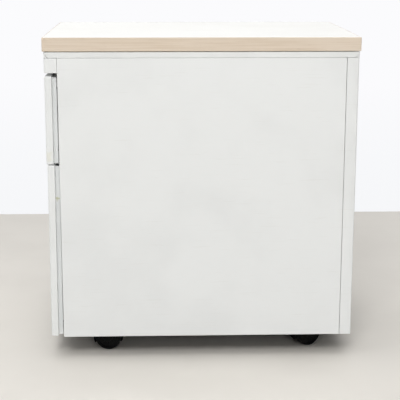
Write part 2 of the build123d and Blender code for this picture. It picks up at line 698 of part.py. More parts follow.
def box_screws(front, low, high, slide_level):
    """The screws of one drawer: box to slides, and box to front."""
    screws = []
    wall = BOX_X - BOX_SHEET
    for y, z in box_screw_places(slide_level):
        head = rod_x(BOX_SCREW_HEAD, (wall - BOX_SCREW_HEAD_THICK, wall), y, z)
        screw = head + rod_x(BOX_SCREW_RADIUS, (wall, BOX_X + SLIDE_SHEET + BOX_SCREW_TAIL), y, z)
        screws += [screw, mirrored_x(screw)]
    seat = front + BOX_SHEET
    for x, z in front_screw_places(low, high):
        head = rod_y(FRONT_SCREW_HEAD, x, (seat, seat + FRONT_SCREW_HEAD_THICK), z)
        screws.append(head + rod_y(FRONT_SCREW_RADIUS, x, (front - FRONT_SCREW_TAIL, seat), z))
    return screws


def tray_pockets():
    """The tray's hollows as (x, y) pairs: long troughs on the left, small trays on the right."""
    half = BOX_X - BOX_RIM - TRAY_SIDE_PLAY
    front = UPPER_PAN_REAR + BOX_SHEET + TRAY_FRONT_GAP
    inner = (front + TRAY_WALL, front + TRAY_DEPTH - TRAY_WALL)
    pitch = (inner[1] - inner[0] + TRAY_WALL) / TRAY_TROUGHS
    pockets = []
    for row in range(TRAY_TROUGHS):
        low = inner[0] + row * pitch
        pockets.append(((-half + TRAY_WALL, TRAY_SPLIT), (low, low + pitch - TRAY_WALL)))
    pitch_x = (half - TRAY_SPLIT - TRAY_WALL) / 2
    pitch_y = (inner[1] - inner[0] + TRAY_WALL) / 2
    for column in range(2):
        low_x = TRAY_SPLIT + TRAY_WALL + column * pitch_x
        for row in range(2):
            low_y = inner[0] + row * pitch_y
            pockets.append(((low_x, low_x + pitch_x - TRAY_WALL), (low_y, low_y + pitch_y - TRAY_WALL)))
    return pockets


def make_pen_tray():
    """The moulded pen tray that hangs on the upper drawer's rims by its side lips."""
    half = BOX_X - BOX_RIM - TRAY_SIDE_PLAY
    front = UPPER_PAN_REAR + BOX_SHEET + TRAY_FRONT_GAP
    y = (front, front + TRAY_DEPTH)
    seat = UPPER_BOX_TOP + TRAY_LIFT
    low = UPPER_BOX_TOP - TRAY_DROP
    lip = half + TRAY_LIP_REACH
    tray = block((-half, half), y, (low, seat + TRAY_LIP))
    tray = fillet(edges_at(tray, Axis.Y, z=low), TRAY_ROUND)
    tray += block((-lip, lip), y, (seat, seat + TRAY_LIP))
    for pocket_x, pocket_y in tray_pockets():
        pocket = block(pocket_x, pocket_y, (low + TRAY_WALL, seat + TRAY_LIP))
        tray -= fillet(pocket.edges().filter_by(Axis.Z), TRAY_ROUND)
    return tray


def make_divider():
    """The file divider: a plate on a foot, with ears on the lower drawer's rims."""
    half = BOX_X - BOX_RIM - DIVIDER_SIDE_PLAY
    y = (DIVIDER_CENTRE - DIVIDER_SHEET / 2, DIVIDER_CENTRE + DIVIDER_SHEET / 2)
    floor = LOWER_BOX_BOTTOM + BOX_SHEET + DIVIDER_FLOOR_GAP
    top = LOWER_BOX_TOP + DIVIDER_RISE
    ear = half + DIVIDER_EAR_REACH
    divider = block((-half, half), y, (floor, top))
    divider += block((-ear, ear), y, (LOWER_BOX_TOP + DIVIDER_LIFT, top))
    divider += block((-half, half), (y[0], y[1] + DIVIDER_FOOT), (floor, floor + DIVIDER_SHEET))
    return divider


def make_bumpers():
    """Rubber discs on the case's front edges, behind the drawer fronts' inner pans."""
    levels = [UPPER_FRONT_BOTTOM + place for place in UPPER_BUMPER_PLACES]
    levels += [LOWER_FRONT_BOTTOM + place for place in LOWER_BUMPER_PLACES]
    x = PANEL_INNER + BUMPER_INSET
    y = (PANEL_FRONT - BUMPER_THICK, PANEL_FRONT)
    return [rod_y(BUMPER_RADIUS, side * x, y, z) for side in (-1, 1) for z in levels]


def make_lock_housing():
    """The lock's fixed housing, through the rail's front wall."""
    face = rod_y(LOCK_FACE_RADIUS, -LOCK_X, (CASE_FRONT - LOCK_FACE_THICK, CASE_FRONT), LOCK_Z)
    barrel_end = CASE_FRONT + LOCK_BARREL_LENGTH
    housing = face + rod_y(LOCK_BARREL_RADIUS, -LOCK_X, (CASE_FRONT, barrel_end), LOCK_Z)
    bore = rod_y(PLUG_RADIUS + PLUG_PLAY, -LOCK_X, (CASE_FRONT - LOCK_FACE_THICK, barrel_end), LOCK_Z)
    return housing - bore


def make_lock_plug():
    """The turning plug with its keyway, and the shaft that carries the cam."""
    front = CASE_FRONT - LOCK_FACE_THICK
    barrel_end = CASE_FRONT + LOCK_BARREL_LENGTH
    plug = rod_y(PLUG_RADIUS, -LOCK_X, (front, barrel_end), LOCK_Z)
    plug += rod_y(PLUG_SHAFT_RADIUS, -LOCK_X, (barrel_end, CAM_REAR), LOCK_Z)
    half_x = KEYWAY_WIDTH / 2
    half_z = KEYWAY_LENGTH / 2
    keyway_x = (-LOCK_X - half_x, -LOCK_X + half_x)
    return plug - block(keyway_x, (front, front + KEYWAY_DEPTH), (LOCK_Z - half_z, LOCK_Z + half_z))


def pin_place():
    """The x and z of the cam's pin at rest, unlocked."""
    return (-LOCK_X - CAM_DIAGONAL, LOCK_Z - CAM_DIAGONAL)


def make_lock_cam():
    """The cam: a hub on the plug's shaft and an arm with a pin for the lock bar's slot."""
    y = (CAM_FRONT, CAM_REAR)
    pin_x, pin_z = pin_place()
    side = CAM_PAD_RADIUS * math.sqrt(0.5)
    arm = [
        (-LOCK_X - side, LOCK_Z + side),
        (-LOCK_X + side, LOCK_Z - side),
        (pin_x + side, pin_z - side),
        (pin_x - side, pin_z + side),
    ]
    cam = rod_y(CAM_HUB_RADIUS, -LOCK_X, y, LOCK_Z)
    cam += rod_y(CAM_PAD_RADIUS, pin_x, y, pin_z)
    cam += prism(arm, Plane.XZ.offset(-CAM_REAR), CAM_THICK)
    cam += rod_y(CAM_PIN_RADIUS, pin_x, (CAM_REAR, CAM_REAR + CAM_PIN_LENGTH), pin_z)
    return cam - rod_y(PLUG_SHAFT_RADIUS + CAM_SCREW_PLAY, -LOCK_X, y, LOCK_Z)


def make_lock_bar():
    """The flat bar that the cam lifts, with one hook for each drawer's catch."""
    y = (BAR_FRONT, BAR_REAR)
    pin_x, pin_z = pin_place()
    low = hook_level(LOWER_CATCH_Z) - BAR_BELOW_HOOK
    bar = block((-BAR_OUTER, -BAR_INNER), y, (low, pin_z + BAR_ABOVE_PIN))
    play = CAM_PIN_RADIUS + CAM_SLOT_PLAY
    slot_x = (-LOCK_X - CAM_REACH - play, pin_x + play)
    bar -= block(slot_x, y, (pin_z - play, pin_z + play))
    reach = -LINER_INNER + HOOK_REACH
    for catch_z in (UPPER_CATCH_Z, LOWER_CATCH_Z):
        level = hook_level(catch_z)
        bar += block((-BAR_INNER, reach), y, (level, level + HOOK_HEIGHT))
    return bar


def make_bar_guides():
    """Two straps on the side panel's front flange, in which the lock bar slides."""
    guides = []
    slot_x = (-BAR_OUTER - GUIDE_PLAY, -BAR_INNER + GUIDE_PLAY)
    slot_y = (BAR_FRONT - GUIDE_PLAY, BAR_REAR + GUIDE_PLAY)
    for low in (LOWER_FRONT_TOP - GUIDE_LOW_DROP, LOCK_Z - GUIDE_HIGH_DROP):
        z = (low, low + GUIDE_HEIGHT)
        outer_x = (slot_x[0] - GUIDE_WALL, slot_x[1] + GUIDE_WALL)
        guide = block(outer_x, (PANEL_FRONT + SHEET, slot_y[1] + GUIDE_BACK), z)
        guides.append(guide - block(slot_x, slot_y, z))
    return guides


def make_case_screws():
    """The case's screws: board to top plate, slides to liners, counterweight to base."""
    screws = []
    for x, y in board_screw_places():
        head = rod_z(BOARD_SCREW_HEAD, x, y, (STRIP_TOP - BOARD_SCREW_HEAD_THICK, STRIP_TOP))
        screws.append(head + rod_z(BOARD_SCREW_RADIUS, x, y, (STRIP_TOP, BOARD_BOTTOM + BOARD_SCREW_BITE)))
    for level in (UPPER_SLIDE_Z, LOWER_SLIDE_Z):
        for y, z in slide_screw_places(level):
            screw = sunk_screw(y, z, 0.0, SLIDE_SCREW_TAIL)
            screws += [screw, mirrored_x(screw)]
    for side in (-1, 1):
        x = side * WEIGHT_BOLT_SIDE
        hexagon = RegularPolygon(WEIGHT_BOLT_HEAD, 6, major_radius=False)
        seat = Pos(x, WEIGHT_Y, CASTER_HEIGHT - WEIGHT_BOLT_HEAD_THICK)
        head = extrude(seat * hexagon, amount=WEIGHT_BOLT_HEAD_THICK)
        shank = rod_z(WEIGHT_BOLT_RADIUS, x, WEIGHT_Y, (CASTER_HEIGHT, BASE_TOP + WEIGHT_BOLT_BITE))
        screws.append(head + shank)
    return screws


def make_caster_plate(x, y):
    """A caster's mounting plate with its stem, on which the hood turns."""
    half = PLATE_SIZE / 2
    bottom = CASTER_HEIGHT - PLATE_THICK
    plate = block((x - half, x + half), (y - half, y + half), (bottom, CASTER_HEIGHT))
    plate = fillet(plate.edges().filter_by(Axis.Z), PLATE_CORNER)
    spread = PLATE_HOLE_SPACING / 2
    for sx in (-spread, spread):
        for sy in (-spread, spread):
            hole = PLATE_SCREW_RADIUS + PLATE_HOLE_PLAY
            plate -= rod_z(hole, x + sx, y + sy, (bottom, CASTER_HEIGHT))
    return plate + rod_z(STEM_RADIUS, x, y, (bottom - STEM_LENGTH, bottom))


def make_caster_screws():
    """The screws of all caster plates."""
    screws = []
    seat = CASTER_HEIGHT - PLATE_THICK
    for x, y in plate_screw_places():
        head = rod_z(PLATE_SCREW_HEAD, x, y, (seat - PLATE_SCREW_HEAD_THICK, seat))
        screws.append(head + rod_z(PLATE_SCREW_RADIUS, x, y, (seat, BASE_TOP + PLATE_SCREW_TAIL)))
    return screws


def make_hood():
    """A caster's hood about its stem: disc, stem boss, web between the wheels and cowl over them."""
    top = CASTER_HEIGHT - PLATE_THICK - HOOD_PLAY
    stem_end = CASTER_HEIGHT - PLATE_THICK - STEM_LENGTH
    y = CASTER_TRAIL
    half = WEB_THICK / 2
    cowl_inner = WHEEL_RADIUS + COWL_PLAY
    cowl_outer = cowl_inner + COWL_THICK
    cowl_x = (-COWL_WIDTH / 2, COWL_WIDTH / 2)
    cowl = rod_x(cowl_outer, cowl_x, y, WHEEL_RADIUS) - rod_x(cowl_inner, cowl_x, y, WHEEL_RADIUS)
    reach = cowl_outer + cowl_inner
    sector = [(y, WHEEL_RADIUS)]
    for quarter in range(5):
        angle = math.radians(COWL_FROM_DEG + (COWL_TO_DEG - COWL_FROM_DEG) * quarter / 4)
        sector.append((y + reach * math.cos(angle), WHEEL_RADIUS + reach * math.sin(angle)))
    cowl = cowl & prism(sector, Plane.YZ.offset(cowl_x[0]), COWL_WIDTH)
    web = rod_x(cowl_inner + COWL_THICK / 2, (-half, half), y, WHEEL_RADIUS)
    web = web & block((-half, half), (y - reach, y + reach), (WEB_LOW, top))
    boss = rod_z(BOSS_RADIUS, 0, 0, (stem_end - STEM_END_GAP - BOSS_FLOOR, top))
    disc = rod_z(HOOD_TOP_RADIUS, 0, 0, (top - HOOD_TOP_THICK, top))
    hood = cowl + web + boss + disc
    hood -= rod_z(STEM_RADIUS + STEM_PLAY, 0, 0, (stem_end - STEM_END_GAP, top))
    return hood - rod_x(AXLE_RADIUS + SCREW_PLAY / 2, (-half, half), y, WHEEL_RADIUS)


def axle_end():
    """The x of the axle's end, inside the wheel's cap."""
    return WHEEL_INNER + WHEEL_WIDTH - WHEEL_CAP - HUB_PLAY


def make_axle():
    """A caster's axle, held in the hood's web."""
    return rod_x(AXLE_RADIUS, (-axle_end(), axle_end()), CASTER_TRAIL, WHEEL_RADIUS)


def make_wheel():
    """A caster's wheel on the local +X side, with a closed cap over the axle's end."""
    y = CASTER_TRAIL
    z = WHEEL_RADIUS
    outer = WHEEL_INNER + WHEEL_WIDTH
    wheel = rod_x(WHEEL_RADIUS, (WHEEL_INNER, outer), y, z)
    wheel = fillet(wheel.edges().filter_by(GeomType.CIRCLE), WHEEL_ROUND)
    for low, high in ((outer - WHEEL_DISH_DEPTH, outer), (WHEEL_INNER, WHEEL_INNER + 2 * WHEEL_DISH_DEPTH)):
        dish = rod_x(WHEEL_DISH_OUTER, (low, high), y, z) - rod_x(WHEEL_DISH_INNER, (low, high), y, z)
        wheel -= dish
    wheel += rod_x(WHEEL_HUB_RADIUS, (WEB_THICK / 2 + HUB_PLAY, WHEEL_INNER), y, z)
    bore = rod_x(AXLE_RADIUS + AXLE_PLAY, (0, outer - WHEEL_CAP), y, z)
    return wheel - bore


def save_casters():
    """Write the nodes of the four casters, each turned about its own stem."""
    plates = []
    for name, (x, y) in caster_places().items():
        turned = Pos(x, y, 0) * Rot(0, 0, CASTER_TURNS_DEG[name])
        plates.append(make_caster_plate(x, y))
        wheel = make_wheel()
        save(f"caster_hood_{name}", turned * make_hood())
        save(f"caster_axle_{name}", turned * make_axle())
        save(f"caster_wheel_a_{name}", turned * wheel)
        save(f"caster_wheel_b_{name}", turned * mirrored_x(wheel))
    save("caster_plates", *plates)
    save("caster_screws", *make_caster_screws())


def save_board_and_strips():
    """Write the board, its bands, the top plate and the strips."""
    save("worktop", make_worktop())
    side_band = make_side_band()
    save("edge_bands", make_end_band(-1), make_end_band(1), mirrored_x(side_band), side_band)
    save("top_plate", make_top_plate())
    side_strip = make_side_strip()
    save("top_strip_right", side_strip)
    save("top_strip_left", mirrored_x(side_strip))
    save("top_strip_front", make_end_strip(CASE_FRONT, 1))
    save("top_strip_rear", make_end_strip(CASE_REAR, -1))


def save_case():
    """Write the case's panels, rail, base, counterweight and screws."""
    save("front_rail", make_front_rail())
    save("side_panel_right", make_side_panel())
    save("side_panel_left", make_left_side_panel())
    save("liner_right", make_liner())
    save("liner_left", make_left_liner())
    save("rear_panel", make_rear_panel())
    save("base_pan", make_base_pan())
    save("counterweight", make_counterweight())
    save("drawer_bumpers", *make_bumpers())
    save("case_screws", *make_case_screws())


def save_slides():
    """Write the slide members of both drawers."""
    members = {
        "upper_slide_outer": make_outer_member(UPPER_SLIDE_Z, UPPER_SLIDE_HEIGHT),
        "upper_slide_inner": make_inner_member(UPPER_SLIDE_Z, UPPER_SLIDE_HEIGHT, 1),
        "lower_slide_outer": make_outer_member(LOWER_SLIDE_Z, LOWER_SLIDE_HEIGHT),
        "lower_slide_middle": make_middle_member(),
        "lower_slide_inner": make_inner_member(LOWER_SLIDE_Z, LOWER_SLIDE_HEIGHT, 2),
    }
    for name, member in members.items():
        save(f"{name}_right", member)
        save(f"{name}_left", mirrored_x(member))


def save_upper_drawer():
    """Write the pen drawer and its tray."""
    front = UPPER_PAN_REAR
    low = UPPER_BOX_BOTTOM
    high = UPPER_BOX_TOP
    save("upper_front_skin", make_skin(front - PAN_DEPTH, UPPER_FRONT_BOTTOM, UPPER_FRONT_TOP))
    pan = make_pan(front, UPPER_FRONT_BOTTOM, UPPER_FRONT_TOP, front_screw_places(low, high))
    save("upper_front_pan", pan)
    save("upper_box", make_box(front, low, high, UPPER_SLIDE_Z, UPPER_CATCH_Z))
    save("upper_drawer_screws", *box_screws(front, low, high, UPPER_SLIDE_Z))
    save("pen_tray", make_pen_tray())


def save_lower_drawer():
    """Write the file drawer, whose front leans back a little, and its divider."""
    front = LOWER_PAN_REAR
    low = LOWER_BOX_BOTTOM
    high = LOWER_BOX_TOP
    skin = make_skin(front - PAN_DEPTH, LOWER_FRONT_BOTTOM, LOWER_FRONT_TOP)
    save("lower_front_skin", lean(skin))
    pan = make_pan(front, LOWER_FRONT_BOTTOM, LOWER_FRONT_TOP, front_screw_places(low, high))
    save("lower_front_pan", lean(pan))
    save("lower_box", make_box(front, low, high, LOWER_SLIDE_Z, LOWER_CATCH_Z))
    save("lower_drawer_screws", *box_screws(front, low, high, LOWER_SLIDE_Z))
    save("file_divider", make_divider())


def save_lock():
    """Write the lock's pieces."""
    save("lock_housing", make_lock_housing())
    save("lock_plug", make_lock_plug())
    save("lock_cam", make_lock_cam())
    save("lock_bar", make_lock_bar())
    save("lock_bar_guides", *make_bar_guides())


os.makedirs("parts", exist_ok=True)
save_board_and_strips()
save_case()
save_slides()
save_upper_drawer()
save_lower_drawer()
save_lock()
save_casters()
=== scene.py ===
"""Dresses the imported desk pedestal: its finishes, and the pieces that need more detail than the solids.

Lengths are in metres, and a name that ends in _mm or _MM holds millimetres. The origin is on the floor
under the middle of the board, the drawer fronts face -Y, and +X is the side that the camera sees.
"""

import json
import logging
import math
from dataclasses import dataclass, field
from enum import Enum
from typing import Any, Iterable, Sequence

import bmesh
import bpy
from bmesh.types import BMEdge, BMesh
from bpy.types import Material, Mesh, Node, NodeSocket, NodeTree, Object
from mathutils import Matrix, Vector


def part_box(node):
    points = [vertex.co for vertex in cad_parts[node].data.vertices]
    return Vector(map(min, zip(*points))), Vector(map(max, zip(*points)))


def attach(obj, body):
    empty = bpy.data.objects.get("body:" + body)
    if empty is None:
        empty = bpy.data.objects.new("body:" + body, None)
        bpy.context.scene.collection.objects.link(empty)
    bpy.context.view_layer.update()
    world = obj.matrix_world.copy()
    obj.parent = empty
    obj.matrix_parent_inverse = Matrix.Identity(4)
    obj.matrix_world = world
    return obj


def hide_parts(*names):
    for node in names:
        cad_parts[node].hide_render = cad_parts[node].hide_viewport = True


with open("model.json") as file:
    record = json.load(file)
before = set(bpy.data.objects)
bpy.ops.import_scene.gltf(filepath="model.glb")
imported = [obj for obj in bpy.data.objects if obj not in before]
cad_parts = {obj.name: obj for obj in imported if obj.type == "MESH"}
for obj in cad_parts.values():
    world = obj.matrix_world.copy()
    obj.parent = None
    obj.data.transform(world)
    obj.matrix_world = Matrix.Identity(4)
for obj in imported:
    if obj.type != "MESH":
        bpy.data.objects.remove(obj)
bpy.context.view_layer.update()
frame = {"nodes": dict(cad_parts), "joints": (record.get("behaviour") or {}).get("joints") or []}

MM = 0.001
IMAGE_SIDE = 400
# Sockets of Blender's Mix node when it mixes colours
MIX_FACTOR = 0
MIX_A = 6
MIX_B = 7
MIX_RESULT = 2
# Rings of Blender's wave texture at a scale of 1 are this far apart
WAVE_RING = 0.314
# Most of a noise pattern lies in this band
MIDDLE_BAND = (0.3, 0.7)
SHARP_DEGREES = 32.0
JOIN_MM = 0.002
FLAT_DEGREES = 0.5
SAME_LEVEL_MM = 0.02
WIDER_MM = 0.05

Triple = tuple[float, float, float]
Profile = Sequence[tuple[float, float]]

log = logging.getLogger("pedestal")


class Drive(Enum):
    """How a screw is turned."""

    CROSS = "cross recess"
    HEXAGON = "hexagon head"


class Side(Enum):
    """The two sides of the pedestal, as the nodes' names end."""

    RIGHT = "right"
    LEFT = "left"


# Small tools


def linear(colour: str) -> tuple[float, float, float, float]:
    """Turns an sRGB hex colour into linear red, green and blue for shaders, and an alpha of 1.

    Args:
        colour: six hex digits after a hash.

    Returns:
        The four values.
    """
    parts = [int(colour[i : i + 2], 16) / 255 for i in (1, 3, 5)]
    values = [p / 12.92 if p <= 0.04045 else ((p + 0.055) / 1.055) ** 2.4 for p in parts]
    return (*values, 1.0)


def add_node(tree: NodeTree, kind: str, links: dict[Any, Any] | None = None, **settings: Any) -> Node:
    """Adds a node with its settings, values and links.

    Args:
        tree: the tree that gets the node.
        kind: Blender's name for the kind of node.
        links: input name or number, and the value or the other node's socket that goes in.
        settings: the node's own properties.

    Returns:
        The new node.
    """
    node = tree.nodes.new(kind)
    for name, value in settings.items():
        setattr(node, name, value)
    for key, value in (links or {}).items():
        for item in value if isinstance(value, list) else [value]:
            if isinstance(item, NodeSocket):
                tree.links.new(item, node.inputs[key])
            else:
                node.inputs[key].default_value = item
    return node


def output_of(
    tree: NodeTree, kind: str, links: dict[Any, Any] | None = None, **settings: Any
) -> NodeSocket:
    """Adds a node as add_node does, and gives its first output."""
    return add_node(tree, kind, links, **settings).outputs[0]


def show(obj: Object) -> Object:
    """Links an object to the scene and gives it back."""
    bpy.context.scene.collection.objects.link(obj)
    return obj


def dress(obj: Object, material: Material) -> None:
    """Puts one material in all of an object's slots.

    Args:
        obj: the object, which gets a slot if it has none.
        material: the material.
    """
    if not obj.data.materials:
        obj.data.materials.append(material)
    for slot in obj.material_slots:
        slot.material = material


def smooth(mesh: Mesh) -> None:
    """Shades a mesh smooth, and keeps its sharp edges.

    Args:
        mesh: the mesh.
    """
    for face in mesh.polygons:
        face.use_smooth = True
    mesh.set_sharp_from_angle(angle=math.radians(SHARP_DEGREES))


def plain_mesh(obj: Object, name: str) -> Mesh:
    """Turns an object's evaluated shape into a mesh of its own, and removes the object.

    Args:
        obj: the object whose modifiers are to be fixed in the mesh.
        name: the new mesh's name.

    Returns:
        The new mesh.
    """
    bpy.context.view_layer.update()
    graph = bpy.context.evaluated_depsgraph_get()
    mesh = bpy.data.meshes.new_from_object(obj.evaluated_get(graph), depsgraph=graph)
    mesh.name = name
    bpy.data.objects.remove(obj)
    return mesh


def merged_copy(node: str) -> BMesh:
    """Copies a CAD node's mesh with its loose triangles joined and its flat faces whole.

    Args:
        node: the CAD node.

    Returns:
        The copy, which the caller frees.
    """
    work = bmesh.new()
    work.from_mesh(frame["nodes"][node].data)
    bmesh.ops.remove_doubles(work, verts=work.verts, dist=JOIN_MM * MM)
    bmesh.ops.dissolve_limit(
        work, angle_limit=math.radians(FLAT_DEGREES), verts=work.verts[:], edges=work.edges[:]
    )
    return work


def lathe(profile: Profile, sides: int = 72, closed: bool = False) -> BMesh:
    """Turns a profile round the X axis.

    Args:
        profile: (along X, radius) pairs in millimetres; a radius of 0 makes a pole.
        sides: faces round the axis.
        closed: whether the last pair joins the first.

    Returns:
        The turned shape in metres, which the caller frees.
    """
    work = bmesh.new()
    rings = []
    for along, radius in profile:
        count = sides if radius > 0 else 1
        ring = []
        for step in range(count):
            angle = math.tau * step / sides
            spot = (along, radius * math.cos(angle), radius * math.sin(angle))
            ring.append(work.verts.new(Vector(spot) * MM))
        rings.append(ring)
    pairs = list(zip(rings, rings[1:]))
    if closed:
        pairs.append((rings[-1], rings[0]))
    for near, far in pairs:
        for step in range(sides):
            after = (step + 1) % sides
            corners = [near[step % len(near)], near[after % len(near)]]
            corners += [far[after % len(far)], far[step % len(far)]]
            work.faces.new(list(dict.fromkeys(corners)))
    bmesh.ops.recalc_face_normals(work, faces=work.faces)
    return work


def finished(work: BMesh, name: str, place: Matrix | None = None) -> Object:
    """Makes a shown object of a worked mesh, with its place in the mesh.

    Args:
        work: the worked mesh, freed here.
        name: the piece's name.
        place: where the mesh goes, if it isn't there yet.

    Returns:
        The new object, at the origin.
    """
    mesh = bpy.data.meshes.new(name)
    work.to_mesh(mesh)
    work.free()
    if place is not None:
        mesh.transform(place)
    smooth(mesh)
    return show(bpy.data.objects.new(name, mesh))


def place_piece(piece: Object, material: Material, body: str, node: str) -> Object:
    """Dresses a finished piece, puts it on its body in place of a CAD node, and logs it.

    Args:
        piece: the finished piece.
        material: its material.
        body: the body that carries it.
        node: the CAD node that it replaces.

    Returns:
        The piece.
    """
    dress(piece, material)
    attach(piece, body)
    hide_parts(node)
    log.info("%s rides on %s with %d faces", piece.name, body, len(piece.data.polygons))
    return piece


# Finishes


@dataclass(frozen=True)
class Tone:
    """A second tone of a finish, which shows where a cloudy pattern of a real size is strong."""

    colour: str
    size_mm: Triple
    cover: float
    band: tuple[float, float] = (0.38, 0.70)
    detail: float = 3.0


@dataclass(frozen=True)
class Relief:
    """Unevenness of a surface: how large its features are and how deep it is."""

    size_mm: Triple
    depth_mm: float
    detail: float = 1.0


@dataclass(frozen=True)
class Stain:
    """A mark left on a coat: its middle, its reach, its colour and how much it covers.

    The size and reach of its ragged edge, and its full core, are shares of its reach.
    """

    middle_mm: Triple
    reach_mm: float
    colour: str
    cover: float
    rag_size: float = 0.6
    rag_reach: float = 0.5
    core: float = 0.4


@dataclass(frozen=True)
class Finish:
    """A surface finish, made into a material at its first use."""

    name: str
    colour: str
    roughness: float
    tones: tuple[Tone, ...] = ()
    reliefs: tuple[Relief, ...] = ()
    stains: tuple[Stain, ...] = ()
    gloss_size_mm: Triple = (30.0, 30.0, 30.0)
    gloss_swing: float = 0.05
    metallic: float = 0.0
    ior: float = 1.5

    def material(self) -> Material:
        """Gives the finish's material, which is made at the first call.

        Returns:
            The material.
        """
        ready = bpy.data.materials.get(self.name)
        if ready is None:
            ready = bpy.data.materials.new(self.name)
            ready.use_nodes = True
            ready.node_tree.nodes.clear()
            self.fill(ready.node_tree)
        return ready

    def fill(self, tree: NodeTree) -> None:
        """Fills the material's tree: tones and stains, uneven gloss, relief, and the shader.

        Args:
            tree: the material's empty tree.
        """
        place = add_node(tree, "ShaderNodeTexCoord").outputs["Object"]
        links = {
            "Base Color": self.coloured(tree, place),
            "Roughness": self.patches(
                tree,
                place,
                Tone(self.colour, self.gloss_size_mm, 0.0, MIDDLE_BAND),
                (self.roughness - self.gloss_swing, self.roughness + self.gloss_swing),
            ),
            "Normal": self.uneven(tree, place),
            "Metallic": self.metallic,
        }
        if not self.metallic:
            links["IOR"] = self.ior
        shader = output_of(tree, "ShaderNodeBsdfPrincipled", links)
        add_node(tree, "ShaderNodeOutputMaterial", {"Surface": shader})

    def pattern(
        self, tree: NodeTree, place: NodeSocket, size_mm: Triple, detail: float
    ) -> NodeSocket:
        """Adds a cloudy pattern whose features have real sizes.

        Args:
            tree: the material's tree.
            place: the point that the pattern is read at.
            size_mm: the features' sizes along X, Y and Z.
            detail: how much finer the smallest features are.

        Returns:
            The pattern's value, from 0 to 1 and mostly near a half.
        """
        scale = tuple(1.0 / (size * MM) for size in size_mm)
        sized = output_of(tree, "ShaderNodeMapping", {"Vector": place, "Scale": scale})
        return output_of(tree, "ShaderNodeTexNoise", {"Vector": sized, "Scale": 1.0, "Detail": detail})

    def patches(
        self, tree: NodeTree, place: NodeSocket, tone: Tone, values: Sequence[float]
    ) -> NodeSocket:
        """Gives a value that changes over cloudy patches of a real size.

        Args:
            tree: the material's tree.
            place: the point on the object.
            tone: the patches' size and detail, and the band of the pattern that they change within.
            values: the value between the patches and in them.

        Returns:
            The value.
        """
        links = {
            "Value": self.pattern(tree, place, tone.size_mm, tone.detail),
            "From Min": tone.band[0],
            "From Max": tone.band[1],
            "To Min": values[0],
            "To Max": values[1],
        }
        return output_of(tree, "ShaderNodeMapRange", links, interpolation_type="SMOOTHSTEP")

    def coloured(self, tree: NodeTree, place: NodeSocket) -> NodeSocket:
        """Lays the tones over the colour, and the stains over the tones.

        Args:
            tree: the material's tree.
            place: the point on the object.

        Returns:
            The colour.
        """
        covers = []
        for tone in self.tones:
            covers.append((self.patches(tree, place, tone, (0.0, tone.cover)), tone.colour))
        for stain in self.stains:
            covers.append((self.stained(tree, place, stain), stain.colour))
        below: Any = linear(self.colour)
        for cover, colour in covers:
            links = {MIX_FACTOR: cover, MIX_A: below, MIX_B: linear(colour)}
            below = add_node(tree, "ShaderNodeMix", links, data_type="RGBA").outputs[MIX_RESULT]
        return below

    def stained(self, tree: NodeTree, place: NodeSocket, stain: Stain) -> NodeSocket:
        """Gives how much a stain covers, with a ragged edge.

        Args:
            tree: the material's tree.
            place: the point on the object.
            stain: the stain.

        Returns:
            Its cover.
        """
        middle = tuple(value * MM for value in stain.middle_mm)
        away = add_node(tree, "ShaderNodeVectorMath", {0: place, 1: middle}, operation="DISTANCE")
        ragged = Tone(stain.colour, even(stain.reach_mm * stain.rag_size), stain.cover, MIDDLE_BAND)
        wander = self.patches(tree, place, ragged, (0.0, stain.reach_mm * MM * stain.rag_reach))
        far = output_of(tree, "ShaderNodeMath", {0: away.outputs["Value"], 1: wander}, operation="ADD")
        links = {
            "Value": far,
            "From Min": stain.reach_mm * MM * stain.core,
            "From Max": stain.reach_mm * MM,
            "To Min": stain.cover,
            "To Max": 0.0,
        }
        return output_of(tree, "ShaderNodeMapRange", links, interpolation_type="SMOOTHSTEP")

    def uneven(self, tree: NodeTree, place: NodeSocket) -> NodeSocket:
        """Lays the reliefs over each other.

        Args:
            tree: the material's tree.
            place: the point on the object.

        Returns:
            The bent normal.
        """
        normal = add_node(tree, "ShaderNodeNewGeometry").outputs["Normal"]
        for relief in self.reliefs:
            links = {
                "Height": self.pattern(tree, place, relief.size_mm, relief.detail),
                "Distance": relief.depth_mm * MM,
                "Strength": 1.0,
                "Normal": normal,
            }
            normal = output_of(tree, "ShaderNodeBump", links)
        return normal


@dataclass(frozen=True)
class TurnedFinish(Finish):
    """A finish with the fine rings that a turning tool leaves round a middle."""

    middle_mm: Triple = (0.0, 0.0, 0.0)
    ring_mm: float = 0.7
    ring_depth_mm: float = 0.004
    ring_wobble: float = 0.3

    def uneven(self, tree: NodeTree, place: NodeSocket) -> NodeSocket:
        """Adds the turning rings to the reliefs.

        Args:
            tree: the material's tree.
            place: the point on the object.

        Returns:
            The bent normal.
        """
        # The rings run round Y, so that axis is flattened
        flat = output_of(
            tree,
            "ShaderNodeMapping",
            {
                "Vector": place,
                "Location": tuple(-value * MM * (i != 1) for i, value in enumerate(self.middle_mm)),
                "Scale": (1.0, 0.0, 1.0),
            },
        )
        rings = add_node(
            tree,
            "ShaderNodeTexWave",
            {"Vector": flat, "Scale": WAVE_RING / (self.ring_mm * MM), "Distortion": self.ring_wobble},
            wave_type="RINGS",
            rings_direction="SPHERICAL",
        ).outputs[1]
        links = {
            "Height": rings,
            "Distance": self.ring_depth_mm * MM,
            "Strength": 1.0,
            "Normal": super().uneven(tree, place),
        }
        return output_of(tree, "ShaderNodeBump", links)


def even(size_mm: float) -> Triple:
    """Gives the same size along all three axes."""
    return (size_mm, size_mm, size_mm)


